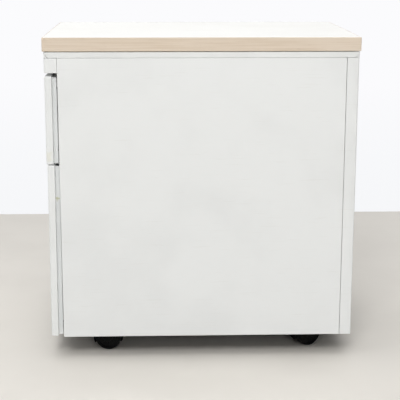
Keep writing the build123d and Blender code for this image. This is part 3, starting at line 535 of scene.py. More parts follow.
# Powder coat on sheet steel is satin: fine orange peel, the sheet's slow waves, and level rub marks.
# Its orange peel is about 1.5 mm from crest to crest, and 3 mm is the finest that shows here.
COAT_TONES = (Tone("#DDDFDF", even(120.0), 0.5), Tone("#CDCCC6", (60.0, 60.0, 2.4), 0.12, (0.62, 0.72)))
CASE_PAINT = Finish(
    "grey_white_powder_coat",
    "#E6E8E8",
    0.40,
    tones=COAT_TONES,
    reliefs=(Relief(even(170.0), 0.6, 0.0), Relief(even(3.0), 0.018)),
)
# The drawer fronts have the same coat, with the two yellowed marks that the photograph has
FRONT_PAINT = Finish(
    "grey_white_powder_coat_on_fronts",
    "#E6E8E8",
    0.39,
    tones=COAT_TONES,
    reliefs=(Relief(even(170.0), 0.5, 0.0), Relief(even(3.0), 0.018)),
    stains=(
        Stain((185.5, -270.3, 310.5), 7.0, "#C9CAA8", 0.9),
        Stain((197.5, -283.5, 394.0), 17.0, "#DEDCCB", 0.4),
    ),
)
# Boxes and hidden sheets have a thinner, greyer coat that is a little duller
INNER_PAINT = Finish(
    "light_grey_powder_coat",
    "#C9CAC7",
    0.47,
    tones=(Tone("#BEBFBB", even(90.0), 0.5), Tone("#AFAEA9", (70.0, 70.0, 3.0), 0.15, (0.60, 0.72))),
    reliefs=(Relief(even(150.0), 0.5, 0.0), Relief(even(3.0), 0.02)),
)
# The base pan is coloured black as painted shade: it darkens the floor under the case, since hardly any
# light comes back from the pan
BASE_SHADE_BLACK = Finish(
    "black_coat_as_painted_shade",
    "#141516",
    0.50,
    tones=(Tone("#262523", even(60.0), 0.4), Tone("#33312E", (60.0, 60.0, 3.0), 0.15, (0.62, 0.74))),
    reliefs=(Relief(even(150.0), 0.5, 0.0), Relief(even(3.0), 0.02)),
)
# Melamine board is near-white, with the pearl grain that the press plate leaves
BOARD_FACE = Finish(
    "near_white_melamine",
    "#FAFAF6",
    0.36,
    tones=(Tone("#F3F2ED", even(140.0), 0.5),),
    reliefs=(Relief(even(1.8), 0.015, 1.5),),
    gloss_size_mm=even(1.8),
    gloss_swing=0.06,
    ior=1.52,
)
# The plastic edge band is printed as pale maple: level veins, small flecks, and a satin lacquer
BAND = Finish(
    "pale_maple_edge_band",
    "#D6C7B5",
    0.42,
    tones=(
        Tone("#DFD2C3", (220.0, 220.0, 50.0), 0.45),
        Tone("#C5B29A", (120.0, 120.0, 2.4), 0.45, (0.42, 0.68), 4.0),
        Tone("#B39C84", (10.0, 10.0, 1.0), 0.25, (0.66, 0.76), 1.0),
    ),
    reliefs=(Relief((120.0, 120.0, 2.4), 0.012, 4.0),),
    ior=1.53,
)
# Bright zinc on rolled strip: cloudy, with lines that run along the slides
ZINC = Finish(
    "bright_zinc_plate",
    "#C3C5C7",
    0.36,
    tones=(Tone("#ABAEB0", even(14.0), 0.5),),
    reliefs=(Relief((1.4, 90.0, 1.4), 0.008, 3.0),),
    gloss_size_mm=(1.4, 90.0, 1.4),
    gloss_swing=0.09,
    metallic=1.0,
)
# Zinc on formed heads is brighter, and its clouds are small
SCREW_ZINC = Finish(
    "bright_zinc_on_screws",
    "#CBCDCE",
    0.30,
    tones=(Tone("#A5A8A9", even(3.0), 0.5),),
    reliefs=(Relief(even(1.2), 0.01, 2.0),),
    gloss_size_mm=even(2.0),
    metallic=1.0,
)
# Glass-filled nylon is near-black and dull, and grey dust lies on it in patches. Its index is well
# under nylon's 1.53, or the pale studio would show in it as grey: the photograph's casters are black.
NYLON = Finish(
    "black_glass_filled_nylon",
    "#060707",
    0.42,
    tones=(Tone("#2A2926", even(14.0), 0.16, (0.45, 0.75), 5.0),),
    reliefs=(Relief(even(1.0), 0.02),),
    gloss_size_mm=even(12.0),
    gloss_swing=0.10,
    ior=1.2,
)
# Moulded polystyrene has a fine spark-eroded grain and an even middle grey
TRAY_PLASTIC = Finish(
    "grey_moulded_polystyrene",
    "#737578",
    0.40,
    tones=(Tone("#85868A", even(25.0), 0.25, (0.45, 0.75), 5.0),),
    reliefs=(Relief(even(0.9), 0.02),),
    gloss_size_mm=even(20.0),
    gloss_swing=0.08,
    ior=1.59,
)
# Rubber is dull all over, with a bloom of grey
RUBBER = Finish(
    "grey_rubber",
    "#3F4041",
    0.74,
    tones=(Tone("#66645F", even(2.0), 0.4, (0.45, 0.75)),),
    reliefs=(Relief(even(0.8), 0.02),),
    ior=1.52,
)
# Sand-cast iron under thin primer is coarse, and rust comes through at the high spots
IRON = Finish(
    "black_primed_cast_iron",
    "#1E1E1F",
    0.62,
    tones=(Tone("#4A3A2E", even(2.4), 0.6, (0.60, 0.70), 4.0),),
    reliefs=(Relief(even(2.4), 0.25, 4.0),),
)


# Geometry node trees


class NodeForm:
    """A geometry node tree with named inputs, made once and run on one mesh of points at a time."""

    name = "form"
    inputs: dict[str, str] = {}

    def __init__(self) -> None:
        """Makes the tree with its inputs, the form and the ending."""
        self.tree = bpy.data.node_groups.new(self.name, "GeometryNodeTree")
        sockets = {"Geometry": "NodeSocketGeometry", **self.inputs, "Finish": "NodeSocketMaterial"}
        for label, kind in sockets.items():
            self.tree.interface.new_socket(label, in_out="INPUT", socket_type=kind)
        self.tree.interface.new_socket("Geometry", in_out="OUTPUT", socket_type="NodeSocketGeometry")
        self.given = add_node(self.tree, "NodeGroupInput").outputs
        self.finish_tree(self.fill())

    def fill(self) -> NodeSocket:
        """Builds the form and gives its instances; each form has its own."""
        raise NotImplementedError

    def finish_tree(self, shape: NodeSocket) -> None:
        """Ends the tree: real geometry, smooth but for its sharp edges, in its finish.

        Args:
            shape: the form's instances.
        """
        tree = self.tree
        real = output_of(tree, "GeometryNodeRealizeInstances", {"Geometry": shape})
        soft = output_of(
            tree, "GeometryNodeSetShadeSmooth", {"Geometry": real, "Shade Smooth": True}, domain="FACE"
        )
        turn = add_node(tree, "GeometryNodeInputMeshEdgeAngle").outputs["Unsigned Angle"]
        links = {"A": turn, "B": math.radians(SHARP_DEGREES)}
        sharp = output_of(tree, "FunctionNodeCompare", links, operation="GREATER_THAN")
        edged = output_of(
            tree,
            "GeometryNodeSetShadeSmooth",
            {"Geometry": soft, "Selection": sharp, "Shade Smooth": False},
            domain="EDGE",
        )
        dressed = output_of(
            tree, "GeometryNodeSetMaterial", {"Geometry": edged, "Material": self.given["Finish"]}
        )
        add_node(tree, "NodeGroupOutput", {"Geometry": dressed})

    def run(self, points: Mesh, name: str, values: dict[str, Any]) -> Mesh:
        """Runs the form on a mesh of points.

        Args:
            points: the mesh whose points carry the form.
            name: the result's name.
            values: the inputs' values by name.

        Returns:
            The result as a plain mesh.
        """
        holder = show(bpy.data.objects.new(f"{name}_points", points))
        modifier = holder.modifiers.new(self.name, "NODES")
        modifier.node_group = self.tree
        for item in self.tree.interface.items_tree:
            if item.in_out == "INPUT" and item.name in values:
                modifier[item.identifier] = values[item.name]
        return plain_mesh(holder, name)


class StudForm(NodeForm):
    """Turned studs on points, such as screws and bolts, each along its point's facing."""

    name = "turned_studs"
    shank_sides = 20
    head_rings = 9
    dome_power = 4.0
    lengths = (
        *("Head Radius", "Neck Radius", "Head Height", "Roundness", "Shank Radius", "Shank Length"),
        *("Recess Width", "Recess Reach", "Recess Depth", "Largest Turn"),
    )
    inputs = {
        **dict.fromkeys(lengths, "NodeSocketFloat"),
        "Sides": "NodeSocketInt",
        "Recess": "NodeSocketBool",
        "Seed": "NodeSocketInt",
    }

    def fill(self) -> NodeSocket:
        """Builds one stud and stands it on every point, each turned at random.

        Returns:
            The instances.
        """
        tree, given = self.tree, self.given
        radius, length = given["Shank Radius"], given["Shank Length"]
        links = {"Vertices": self.shank_sides, "Radius": radius, "Depth": length}
        shank = add_node(tree, "GeometryNodeMeshCylinder", links).outputs["Mesh"]
        drop = output_of(tree, "ShaderNodeMath", {0: length, 1: -0.5}, operation="MULTIPLY")
        below = output_of(tree, "ShaderNodeCombineXYZ", {"Z": drop})
        sunk = output_of(tree, "GeometryNodeTransform", {"Geometry": shank, "Translation": below})
        stud = output_of(tree, "GeometryNodeJoinGeometry", {"Geometry": [self.head(), sunk]})
        facing = output_of(
            tree, "GeometryNodeInputNamedAttribute", {"Name": "facing"}, data_type="FLOAT_VECTOR"
        )
        aimed = output_of(tree, "FunctionNodeAlignRotationToVector", {"Vector": facing}, axis="Z")
        links = {2: 0.0, 3: given["Largest Turn"], "Seed": given["Seed"]}
        turn = add_node(tree, "FunctionNodeRandomValue", links, data_type="FLOAT").outputs[1]
        spin = output_of(tree, "FunctionNodeAxisAngleToRotation", {"Axis": (0, 0, 1), "Angle": turn})
        links = {"Rotation": aimed, "Rotate By": spin}
        turned = output_of(tree, "FunctionNodeRotateRotation", links, rotation_space="LOCAL")
        links = {"Points": given["Geometry"], "Instance": stud, "Rotation": turned}
        return output_of(tree, "GeometryNodeInstanceOnPoints", links)

    def head(self) -> NodeSocket:
        """Turns the head, which widens from neck to rim and rounds off at the top, and cuts its cross.

        Returns:
            The head, with its cross where the stud has one.
        """
        tree, given = self.tree, self.given
        top = output_of(tree, "ShaderNodeCombineXYZ", {"Z": given["Head Height"]})
        line = output_of(tree, "GeometryNodeCurvePrimitiveLine", {"Start": (0, 0, 0), "End": top})
        spine = output_of(tree, "GeometryNodeResampleCurve", {"Curve": line, "Count": self.head_rings})
        part = add_node(tree, "GeometryNodeSplineParameter").outputs["Factor"]
        wide = output_of(
            tree,
            "ShaderNodeMapRange",
            {"Value": part, "To Min": given["Neck Radius"], "To Max": given["Head Radius"]},
        )
        fall = output_of(tree, "ShaderNodeMath", {0: part, 1: given["Roundness"]}, operation="MULTIPLY")
        steep = output_of(tree, "ShaderNodeMath", {0: fall, 1: self.dome_power}, operation="POWER")
        left = output_of(tree, "ShaderNodeMath", {0: 1.0, 1: steep}, operation="SUBTRACT")
        dome = output_of(tree, "ShaderNodeMath", {0: left}, operation="SQRT")
        radius = output_of(tree, "ShaderNodeMath", {0: wide, 1: dome}, operation="MULTIPLY")
        ring = output_of(
            tree, "GeometryNodeCurvePrimitiveCircle", {"Resolution": given["Sides"], "Radius": 1.0}
        )
        links = {"Curve": spine, "Profile Curve": ring, "Scale": radius, "Fill Caps": True}
        blank = output_of(tree, "GeometryNodeCurveToMesh", links)
        deep = output_of(
            tree, "ShaderNodeMath", {0: given["Recess Depth"], 1: 2.0}, operation="MULTIPLY"
        )
        bars = []
        for along, across in (("X", "Y"), ("Y", "X")):
            sizes = {along: given["Recess Reach"], across: given["Recess Width"], "Z": deep}
            size = output_of(tree, "ShaderNodeCombineXYZ", sizes)
            bar = add_node(tree, "GeometryNodeMeshCube", {"Size": size}).outputs["Mesh"]
            bars.append(output_of(tree, "GeometryNodeTransform", {"Geometry": bar, "Translation": top}))
        cut = output_of(
            tree, "GeometryNodeMeshBoolean", {"Mesh 1": blank, "Mesh 2": bars}, operation="DIFFERENCE"
        )
        links = {"Switch": given["Recess"], "False": blank, "True": cut}
        return output_of(tree, "GeometryNodeSwitch", links, input_type="GEOMETRY")


class SpokeForm(NodeForm):
    """Moulded ribs that stand round the Z axis like spokes, half sunk in what carries them."""

    name = "moulded_spokes"
    rib_sides = 12
    inputs = {
        **dict.fromkeys(("Inner Radius", "Outer Radius", "Rib Radius", "Level"), "NodeSocketFloat"),
        "Count": "NodeSocketInt",
    }

    def fill(self) -> NodeSocket:
        """Builds one rib and turns copies of it round the axis.

        Returns:
            The instances.
        """
        tree, given = self.tree, self.given
        ends = []
        for radius in ("Inner Radius", "Outer Radius"):
            ends.append(output_of(tree, "ShaderNodeCombineXYZ", {"X": given[radius], "Z": given["Level"]}))
        line = output_of(tree, "GeometryNodeCurvePrimitiveLine", {"Start": ends[0], "End": ends[1]})
        links = {"Resolution": self.rib_sides, "Radius": given["Rib Radius"]}
        ring = output_of(tree, "GeometryNodeCurvePrimitiveCircle", links)
        links = {"Curve": line, "Profile Curve": ring, "Fill Caps": True}
        rib = output_of(tree, "GeometryNodeCurveToMesh", links)
        points = output_of(tree, "GeometryNodePoints", {"Count": given["Count"]})
        index = output_of(tree, "GeometryNodeInputIndex")
        share = output_of(tree, "ShaderNodeMath", {0: math.tau, 1: given["Count"]}, operation="DIVIDE")
        angle = output_of(tree, "ShaderNodeMath", {0: index, 1: share}, operation="MULTIPLY")
        spin = output_of(tree, "FunctionNodeAxisAngleToRotation", {"Axis": (0, 0, 1), "Angle": angle})
        links = {"Points": points, "Instance": rib, "Rotation": spin}
        return output_of(tree, "GeometryNodeInstanceOnPoints", links)


# Screws


@dataclass(frozen=True)
class Stud:
    """One screw or bolt as its solid has it, in metres."""

    seat: Vector
    facing: Vector
    head_radius: float
    head_height: float
    shank_radius: float
    shank_length: float
    sunk: bool

    @staticmethod
    def read(corners: Sequence[Vector]) -> "Stud":
        """Reads a stud from its solid's corners.

        Args:
            corners: the corner points of one solid.

        Returns:
            The stud, facing out of its head.
        """
        low = Vector([min(c[i] for c in corners) for i in range(3)])
        high = Vector([max(c[i] for c in corners) for i in range(3)])
        size = high - low
        spread = [abs(size[(i + 1) % 3] - size[(i + 2) % 3]) / max(size) for i in range(3)]
        axis = min(range(3), key=lambda i: spread[i])
        middle = (low + high) / 2

        def radius_at(level: float) -> float:
            """Gives the largest distance from the axis at one level.

            Args:
                level: where along the axis.

            Returns:
                The distance, and 0 where there is no corner.
            """
            found = [c for c in corners if abs(c[axis] - level) < SAME_LEVEL_MM * MM]
            across = [Vector([c[i] - middle[i] for i in range(3) if i != axis]).length for c in found]
            return max(across, default=0.0)

        levels = sorted({round(c[axis], 6) for c in corners})
        if radius_at(levels[0]) > radius_at(levels[-1]):
            levels.reverse()
        head_radius = radius_at(levels[-1])
        shank_radius = radius_at(levels[0])
        rim = [v for v in levels if radius_at(v) > shank_radius + WIDER_MM * MM]
        sunk = abs(rim[0] - rim[-1]) < WIDER_MM * MM
        below = [v for v in levels if v not in rim]
        seat_level = below[-1] if sunk else rim[0]
        seat = middle.copy()
        seat[axis] = seat_level
        facing = Vector((0, 0, 0))
        facing[axis] = 1.0 if levels[-1] > levels[0] else -1.0
        return Stud(
            seat,
            facing,
            head_radius,
            abs(levels[-1] - seat_level),
            shank_radius,
            abs(seat_level - levels[0]),
            sunk,
        )

    def kind(self) -> tuple[int, ...]:
        """Gives what two studs of one kind have in common, in hundredths of a millimetre."""
        sizes = (self.head_radius, self.head_height, self.shank_radius, self.shank_length)
        return (*(round(size / MM * 100) for size in sizes), int(self.sunk))


@dataclass
class Fasteners:
    """The screws of one CAD node, made again with real heads.

    The cross's width and reach are shares of the head's radius, and its depth is one of its height.
    """

    node: str
    body: str
    slot: str
    form: StudForm
    finish: Finish = SCREW_ZINC
    hexagon_above_mm: float = 6.0
    cross_width: float = 0.24
    cross_reach: float = 1.05
    cross_depth: float = 0.55
    hexagon_round: float = 0.55
    pan_round: float = 0.93
    sides: int = 32

    def studs(self) -> list[Stud]:
        """Reads every solid of the node as a stud.

        Returns:
            The studs, in the order of their places.
        """
        work = merged_copy(self.node)
        left = set(work.verts)
        found = []
        while left:
            grown = {left.pop()}
            edge = list(grown)
            while edge:
                vert = edge.pop()
                for link in vert.link_edges:
                    other = link.other_vert(vert)
                    if other in left:
                        left.discard(other)
                        grown.add(other)
                        edge.append(other)
            found.append(Stud.read([v.co.copy() for v in grown]))
        work.free()
        return sorted(found, key=lambda stud: tuple(round(v, 5) for v in stud.seat))

    def build(self) -> Object:
        """Makes all the node's screws as one piece that rides on their body.

        Returns:
            The piece.
        """
        kinds: dict[tuple[int, ...], list[Stud]] = {}
        for stud in self.studs():
            kinds.setdefault(stud.kind(), []).append(stud)
        work = bmesh.new()
        for number, kind in enumerate(sorted(kinds)):
            mesh = self.bake(kinds[kind], number)
            work.from_mesh(mesh)
            bpy.data.meshes.remove(mesh)
        mesh = bpy.data.meshes.new(f"{self.node}_turned")
        work.to_mesh(mesh)
        work.free()
        piece = show(bpy.data.objects.new(f"{self.node}_turned", mesh))
        return place_piece(piece, self.finish.material(), self.body, self.node)

    def bake(self, group: list[Stud], number: int) -> Mesh:
        """Makes the studs of one kind.

        Args:
            group: the studs, alike but for their places.
            number: the kind's place in the order, used as the seed.

        Returns:
            Their mesh.
        """
        first = group[0]
        points = bpy.data.meshes.new(f"{self.node}_{number}")
        points.from_pydata([stud.seat for stud in group], [], [])
        facing = points.attributes.new("facing", "FLOAT_VECTOR", "POINT")
        for item, stud in zip(facing.data, group):
            item.vector = stud.facing
        drive = self.drive(first)
        rounding = self.hexagon_round if drive is Drive.HEXAGON else self.pan_round
        values = {
            "Head Radius": first.head_radius,
            "Neck Radius": first.shank_radius if first.sunk else first.head_radius,
            "Head Height": first.head_height,
            "Roundness": 0.0 if first.sunk else rounding,
            "Shank Radius": first.shank_radius,
            "Shank Length": first.shank_length,
            "Recess Width": first.head_radius * self.cross_width,
            "Recess Reach": first.head_radius * self.cross_reach,
            "Recess Depth": first.head_height * self.cross_depth,
            "Sides": 6 if drive is Drive.HEXAGON else self.sides,
            "Recess": drive is Drive.CROSS,
            # A hexagon head stays as its solid has it, and a cross ends up at any turn
            "Largest Turn": 0.0 if drive is Drive.HEXAGON else math.pi / 2,
            "Seed": number,
            "Finish": self.finish.material(),
        }
        return self.form.run(points, f"{self.node}_{number}_kind", values)

    def drive(self, stud: Stud) -> Drive:
        """Tells how a stud is turned: the large bolts have hexagon heads."""
        return Drive.HEXAGON if stud.head_radius > self.hexagon_above_mm * MM else Drive.CROSS


# Sub-assemblies


@dataclass
class Carried:
    """CAD nodes that stay as they are and get a finish."""

    finish: Finish
    nodes: Sequence[str]

    def dress(self) -> None:
        """Puts the finish on every node."""
        for node in self.nodes:
            dress(frame["nodes"][node], self.finish.material())
            log.info("%s keeps its solid, in %s", node, self.finish.name)


@dataclass
class Softened:
    """A CAD node made again with its moulded, folded or deburred edges rounded."""

    node: str
    body: str
    slot: str
    finish: Finish
    edge_mm: float
    segments: int = 2
    sharp_degrees: float = 40.0

    def chosen(self, edge: BMEdge) -> bool:
        """Tells whether an edge is rounded, which every sharp one is."""
        return len(edge.link_faces) == 2 and edge.calc_face_angle() >= math.radians(self.sharp_degrees)

    def worked(self) -> BMesh:
        """Gives the shape whose edges are rounded, which the caller frees."""
        return merged_copy(self.node)

    def build(self) -> Object:
        """Makes the rounded piece in place of its node.

        Returns:
            The piece.
        """
        work = self.worked()
        bmesh.ops.bevel(
            work,
            geom=[edge for edge in work.edges if self.chosen(edge)],
            offset=self.edge_mm * MM,
            segments=self.segments,
            profile=0.5,
            affect="EDGES",
            clamp_overlap=True,
        )
        piece = finished(work, f"{self.node}_rounded")
        return place_piece(piece, self.finish.material(), self.body, self.node)


@dataclass
class Strip(Softened):
    """A folded strip: only its folds are rounded, and the lower one stands clear of the sheets below."""

    hairline_mm: float = 0.35

    def worked(self) -> BMesh:
        """Lifts the underside of the lower fold.

        Returns:
            The strip, which the caller frees.
        """
        work = super().worked()
        bottom = min(vert.co.z for vert in work.verts)
        for vert in work.verts:
            if vert.co.z < bottom + SAME_LEVEL_MM * MM:
                vert.co.z += self.hairline_mm * MM
        return work

    def chosen(self, edge: BMEdge) -> bool:
        """Tells whether an edge is a fold: sharp, and level at the strip's top or its lifted underside.

        Args:
            edge: an edge of the merged copy.

        Returns:
            True for a fold.
        """
        low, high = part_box(self.node)
        folds = (low.z + self.hairline_mm * MM, high.z)
        return super().chosen(edge) and any(
            all(abs(vert.co.z - fold) < SAME_LEVEL_MM * MM for vert in edge.verts) for fold in folds
        )


@dataclass
class Board:
    """The worktop: a melamine-faced board with a maple edge band round it."""

    def build(self) -> None:
        """Dresses the board's faces and its bands."""
        Carried(BOARD_FACE, ["worktop"]).dress()
        Carried(BAND, ["edge_bands"]).dress()


@dataclass
class Casing:
    """The folded steel case: strips, panels, rail, liners, base, weight, bumpers and screws."""

    studs: StudForm
    fold_mm: float = 0.8
    weight_edge_mm: float = 1.6
    bumper_edge_mm: float = 0.6
    strips: tuple[str, ...] = ("top_strip_front", "top_strip_rear", "top_strip_left", "top_strip_right")
    outer: tuple[str, ...] = ("front_rail", "side_panel_left", "side_panel_right", "rear_panel")
    inner: tuple[str, ...] = ("top_plate", "liner_left", "liner_right")

    def build(self) -> None:
        """Dresses the sheets, rounds the strips' folds, and makes the screws and bumpers."""
        Carried(CASE_PAINT, self.outer).dress()
        for strip in self.strips:
            Strip(strip, "case", "powder_paint", CASE_PAINT, self.fold_mm, segments=3).build()
        Carried(INNER_PAINT, self.inner).dress()
        # The base pan's black stands in for the deep shade under the case
        Carried(BASE_SHADE_BLACK, ["base_pan"]).dress()
        Softened("counterweight", "case", "cast_weight", IRON, self.weight_edge_mm, segments=3).build()
        Fasteners("case_screws", "case", "zinc_steel", self.studs).build()
        Softened(
            "drawer_bumpers", "case", "bumper_rubber", RUBBER, self.bumper_edge_mm, segments=3
        ).build()


@dataclass
class DrawerUnit:
    """A drawer: its front's skin and pan, its box and its screws."""

    name: str
    studs: StudForm

    def build(self) -> None:
        """Dresses the sheets and makes the screws."""
        body = f"{self.name}_drawer"
        Carried(FRONT_PAINT, [f"{self.name}_front_skin", f"{self.name}_front_pan"]).dress()
        Carried(INNER_PAINT, [f"{self.name}_box"]).dress()
        Fasteners(f"{self.name}_drawer_screws", body, "zinc_steel", self.studs).build()


@dataclass
class PenTray:
    """The moulded tray that slides on the upper drawer's rims."""

    edge_mm: float = 0.7

    def build(self) -> None:
        """Makes the tray with its moulded edges."""
        Softened("pen_tray", "pen_tray", "tray_grey", TRAY_PLASTIC, self.edge_mm, segments=3).build()


@dataclass
class Slides:
    """The drawers' steel slides, whose members are rolled channels."""

    members: tuple[str, ...] = (
        "upper_slide_outer",
        "upper_slide_inner",
        "lower_slide_outer",
        "lower_slide_middle",
        "lower_slide_inner",
    )

    def build(self) -> None:
        """Dresses every member on both sides."""
        nodes = [f"{member}_{side.value}" for member in self.members for side in Side]
        Carried(ZINC, nodes).dress()


@dataclass
class Lock:
    """The lock in the rail: a turned housing, the plug with its keyway, the cam and the bar."""

    face_mm: float = 9.0
    barrel_mm: float = 8.0
    face_thick_mm: float = 1.5
    bore_mm: float = 5.08
    lip_mm: float = 0.4
    chamfer_mm: float = 0.6
    groove_mm: float = 0.35
    groove_in_mm: float = 2.2
    plug_edge_mm: float = 0.25

    def build(self) -> None:
        """Makes the housing and the plug and dresses what they work."""
        low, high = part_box("lock_housing")
        middle = (low + high) / 2
        # Nickel over turned brass is bright, with fine rings round its middle and a few handling marks
        nickel = TurnedFinish(
            "turned_nickel_plate",
            "#CFCDC6",
            0.20,
            tones=(Tone("#A9A8A3", even(3.0), 0.4),),
            gloss_size_mm=even(3.0),
            gloss_swing=0.06,
            metallic=1.0,
            middle_mm=(middle.x / MM, 0.0, middle.z / MM),
        )
        self.make_housing(low.y, high.y, middle, nickel)
        Softened("lock_plug", "lock_plug", "lock_chrome", nickel, self.plug_edge_mm).build()
        Carried(ZINC, ["lock_cam", "lock_bar", "lock_bar_guides"]).dress()

    def make_housing(self, front: float, rear: float, middle: Vector, nickel: Finish) -> None:
        """Turns the housing, with a chamfered face and one fine groove in it.

        Args:
            front: the y of the housing's face.
            rear: the y of the barrel's end.
            middle: the housing's middle, for its x and z.
            nickel: the housing's finish.
        """
        bore = self.bore_mm
        length = (rear - front) / MM
        groove = self.face_mm - self.groove_in_mm
        profile = [
            (self.lip_mm, bore),
            (0.0, bore + self.lip_mm),
            (0.0, groove),
            (self.groove_mm, groove + self.groove_mm),
            (0.0, groove + 2 * self.groove_mm),
            (0.0, self.face_mm - self.chamfer_mm),
            (self.chamfer_mm, self.face_mm),
            (self.face_thick_mm, self.face_mm),
            (self.face_thick_mm, self.barrel_mm),
            (length, self.barrel_mm),
            (length, bore),
        ]
        turn = Matrix.Rotation(math.radians(90), 4, "Z")
        place = Matrix.Translation((middle.x, front, middle.z)) @ turn
        piece = finished(lathe(profile, closed=True), "lock_housing_turned", place)
        place_piece(piece, nickel.material(), "case", "lock_housing")


@dataclass
class CasterWheel:
    """One wheel of a caster, turned about its own axle, with moulded ribs in both faces."""

    inner_mm: float = 7.2
    outer_mm: float = 18.8
    radius_mm: float = 25.0
    tread_round_mm: float = 2.5
    hub_mm: float = 6.0
    hub_start_mm: float = 3.8
    bore_mm: float = 3.08
    bore_end_mm: float = 17.4
    dish_mm: tuple[float, float] = (9.0, 19.5)
    outer_dish_mm: float = 1.8
    inner_dish_mm: float = 3.6
    rib_mm: float = 0.9
    ribs: int = 9
    edge_mm: float = 0.4
    draft_mm: float = 0.3
    seam_from_dish_mm: float = 2.0
    seam_mm: tuple[float, float] = (0.5, 0.35)
    cap_mm: tuple[float, float] = (2.6, 2.0)
    cap_depth_mm: float = 0.5
    arc_steps: int = 6

    def profile(self) -> list[tuple[float, float]]:
        """Gives the wheel's section.

        Returns:
            (along the axle, radius) pairs in millimetres, from the axle's end out to the outer cap.
        """
        low, high = self.dish_mm
        inner, outer = self.inner_mm, self.outer_mm
        edge, draft = self.edge_mm, self.draft_mm
        floor_in = inner + self.inner_dish_mm
        floor_out = outer - self.outer_dish_mm
        points = [
            (self.bore_end_mm, 0.0),
            (self.bore_end_mm, self.bore_mm),
            (self.hub_start_mm, self.bore_mm),
            (self.hub_start_mm, self.hub_mm - edge),
            (self.hub_start_mm + edge, self.hub_mm),
            (inner, self.hub_mm),
            (inner, low - edge),
            (inner + edge, low),
            (floor_in, low + draft),
            (floor_in, high - draft),
            (inner + edge, high),
            (inner, high + edge),
        ]
        points += self.tread()
        seam = high + self.seam_from_dish_mm
        seam_wide, seam_deep = self.seam_mm
        points += [
            (outer, seam + seam_wide),
            (outer - seam_deep, seam + seam_wide / 2),
            (outer, seam),
            (outer, high + edge),
            (outer - edge, high),
            (floor_out, high - draft),
            (floor_out, low + draft),
            (outer - edge, low),
            (outer, low - edge),
            (outer, self.cap_mm[0]),
            (outer - self.cap_depth_mm, self.cap_mm[1]),
            (outer - self.cap_depth_mm, 0.0),
        ]
        return points

    def tread(self) -> list[tuple[float, float]]:
        """Gives the rounded tread.

        Returns:
            (along the axle, radius) pairs in millimetres, from the inner face to the outer one.
        """
        centre = self.radius_mm - self.tread_round_mm
        points = []
        inner = self.inner_mm + self.tread_round_mm
        outer = self.outer_mm - self.tread_round_mm
        for middle, start in ((inner, 180), (outer, 90)):
            for step in range(self.arc_steps + 1):
                angle = math.radians(start - 90 * step / self.arc_steps)
                along = middle + self.tread_round_mm * math.cos(angle)
                points.append((along, centre + self.tread_round_mm * math.sin(angle)))
        return points

    def shape(self, spokes: SpokeForm) -> BMesh:
        """Turns the wheel about the X axis and adds its ribs.

        Args:
            spokes: the form that makes the ribs.

        Returns:
            The wheel, on the side of +X, which the caller frees.
        """
        work = lathe(self.profile())
        low, high = self.dish_mm
        levels = (self.inner_mm + self.inner_dish_mm, self.outer_mm - self.outer_dish_mm)
        onto_x = Matrix.Rotation(math.radians(90), 4, "Y")
        for level in levels:
            points = bpy.data.meshes.new("rib_points")
            values = {
                "Inner Radius": low * MM,
                "Outer Radius": high * MM,
                "Rib Radius": self.rib_mm * MM,
                "Level": level * MM,
                "Count": self.ribs,
                "Finish": NYLON.material(),
            }
            ribs = spokes.run(points, "ribs", values)
            ribs.transform(onto_x)
            work.from_mesh(ribs)
            bpy.data.meshes.remove(ribs)
        return work


@dataclass
class Caster:
    """One twin-wheel caster: hood, axle and two wheels, turned as its joints have it."""

    place: str
    spokes: SpokeForm
    wheel: CasterWheel = field(default_factory=CasterWheel)
    hood_edge_mm: float = 0.5

    def build(self) -> None:
        """Makes the hood and both wheels and dresses the axle."""
        body = f"caster_{self.place}"
        Softened(f"caster_hood_{self.place}", body, "nylon_black", NYLON, self.hood_edge_mm).build()
        Carried(ZINC, [f"caster_axle_{self.place}"]).dress()
        for letter in ("a", "b"):
            self.make_wheel(letter)

    def make_wheel(self, letter: str) -> None:
        """Makes one wheel at its joint.

        Args:
            letter: a for the wheel on the axle's positive side, b for the other.
        """
        joint = next(j for j in frame["joints"] if j["name"] == f"roll_{letter}_{self.place}")
        axle = Vector(joint["axis"]).normalized()
        if letter == "b":
            axle.negate()
        upright = Vector((0, 0, 1))
        across = upright.cross(axle)
        turn = Matrix((axle, across, upright)).transposed().to_4x4()
        node = f"caster_wheel_{letter}_{self.place}"
        spot = Matrix.Translation(joint["pos_m"]) @ turn
        piece = finished(self.wheel.shape(self.spokes), f"{node}_ribbed", spot)
        place_piece(piece, NYLON.material(), f"wheel_{letter}_{self.place}", node)


# Studio


@dataclass(frozen=True)
class Lamp:
    """A soft box: where it hangs, how large it is and how strong."""

    name: str
    spot: Triple
    aim: Triple
    size: tuple[float, float]
    watts: float

    def hang(self) -> None:
        """Puts the lamp in the scene, facing its aim."""
        light = bpy.data.lights.new(self.name, "AREA")
        light.shape = "RECTANGLE"
        light.size, light.size_y = self.size
        light.energy = self.watts
        lamp = show(bpy.data.objects.new(self.name, light))
        lamp.location = self.spot
        lamp.rotation_euler = (Vector(self.aim) - Vector(self.spot)).to_track_quat("-Z", "Y").to_euler()


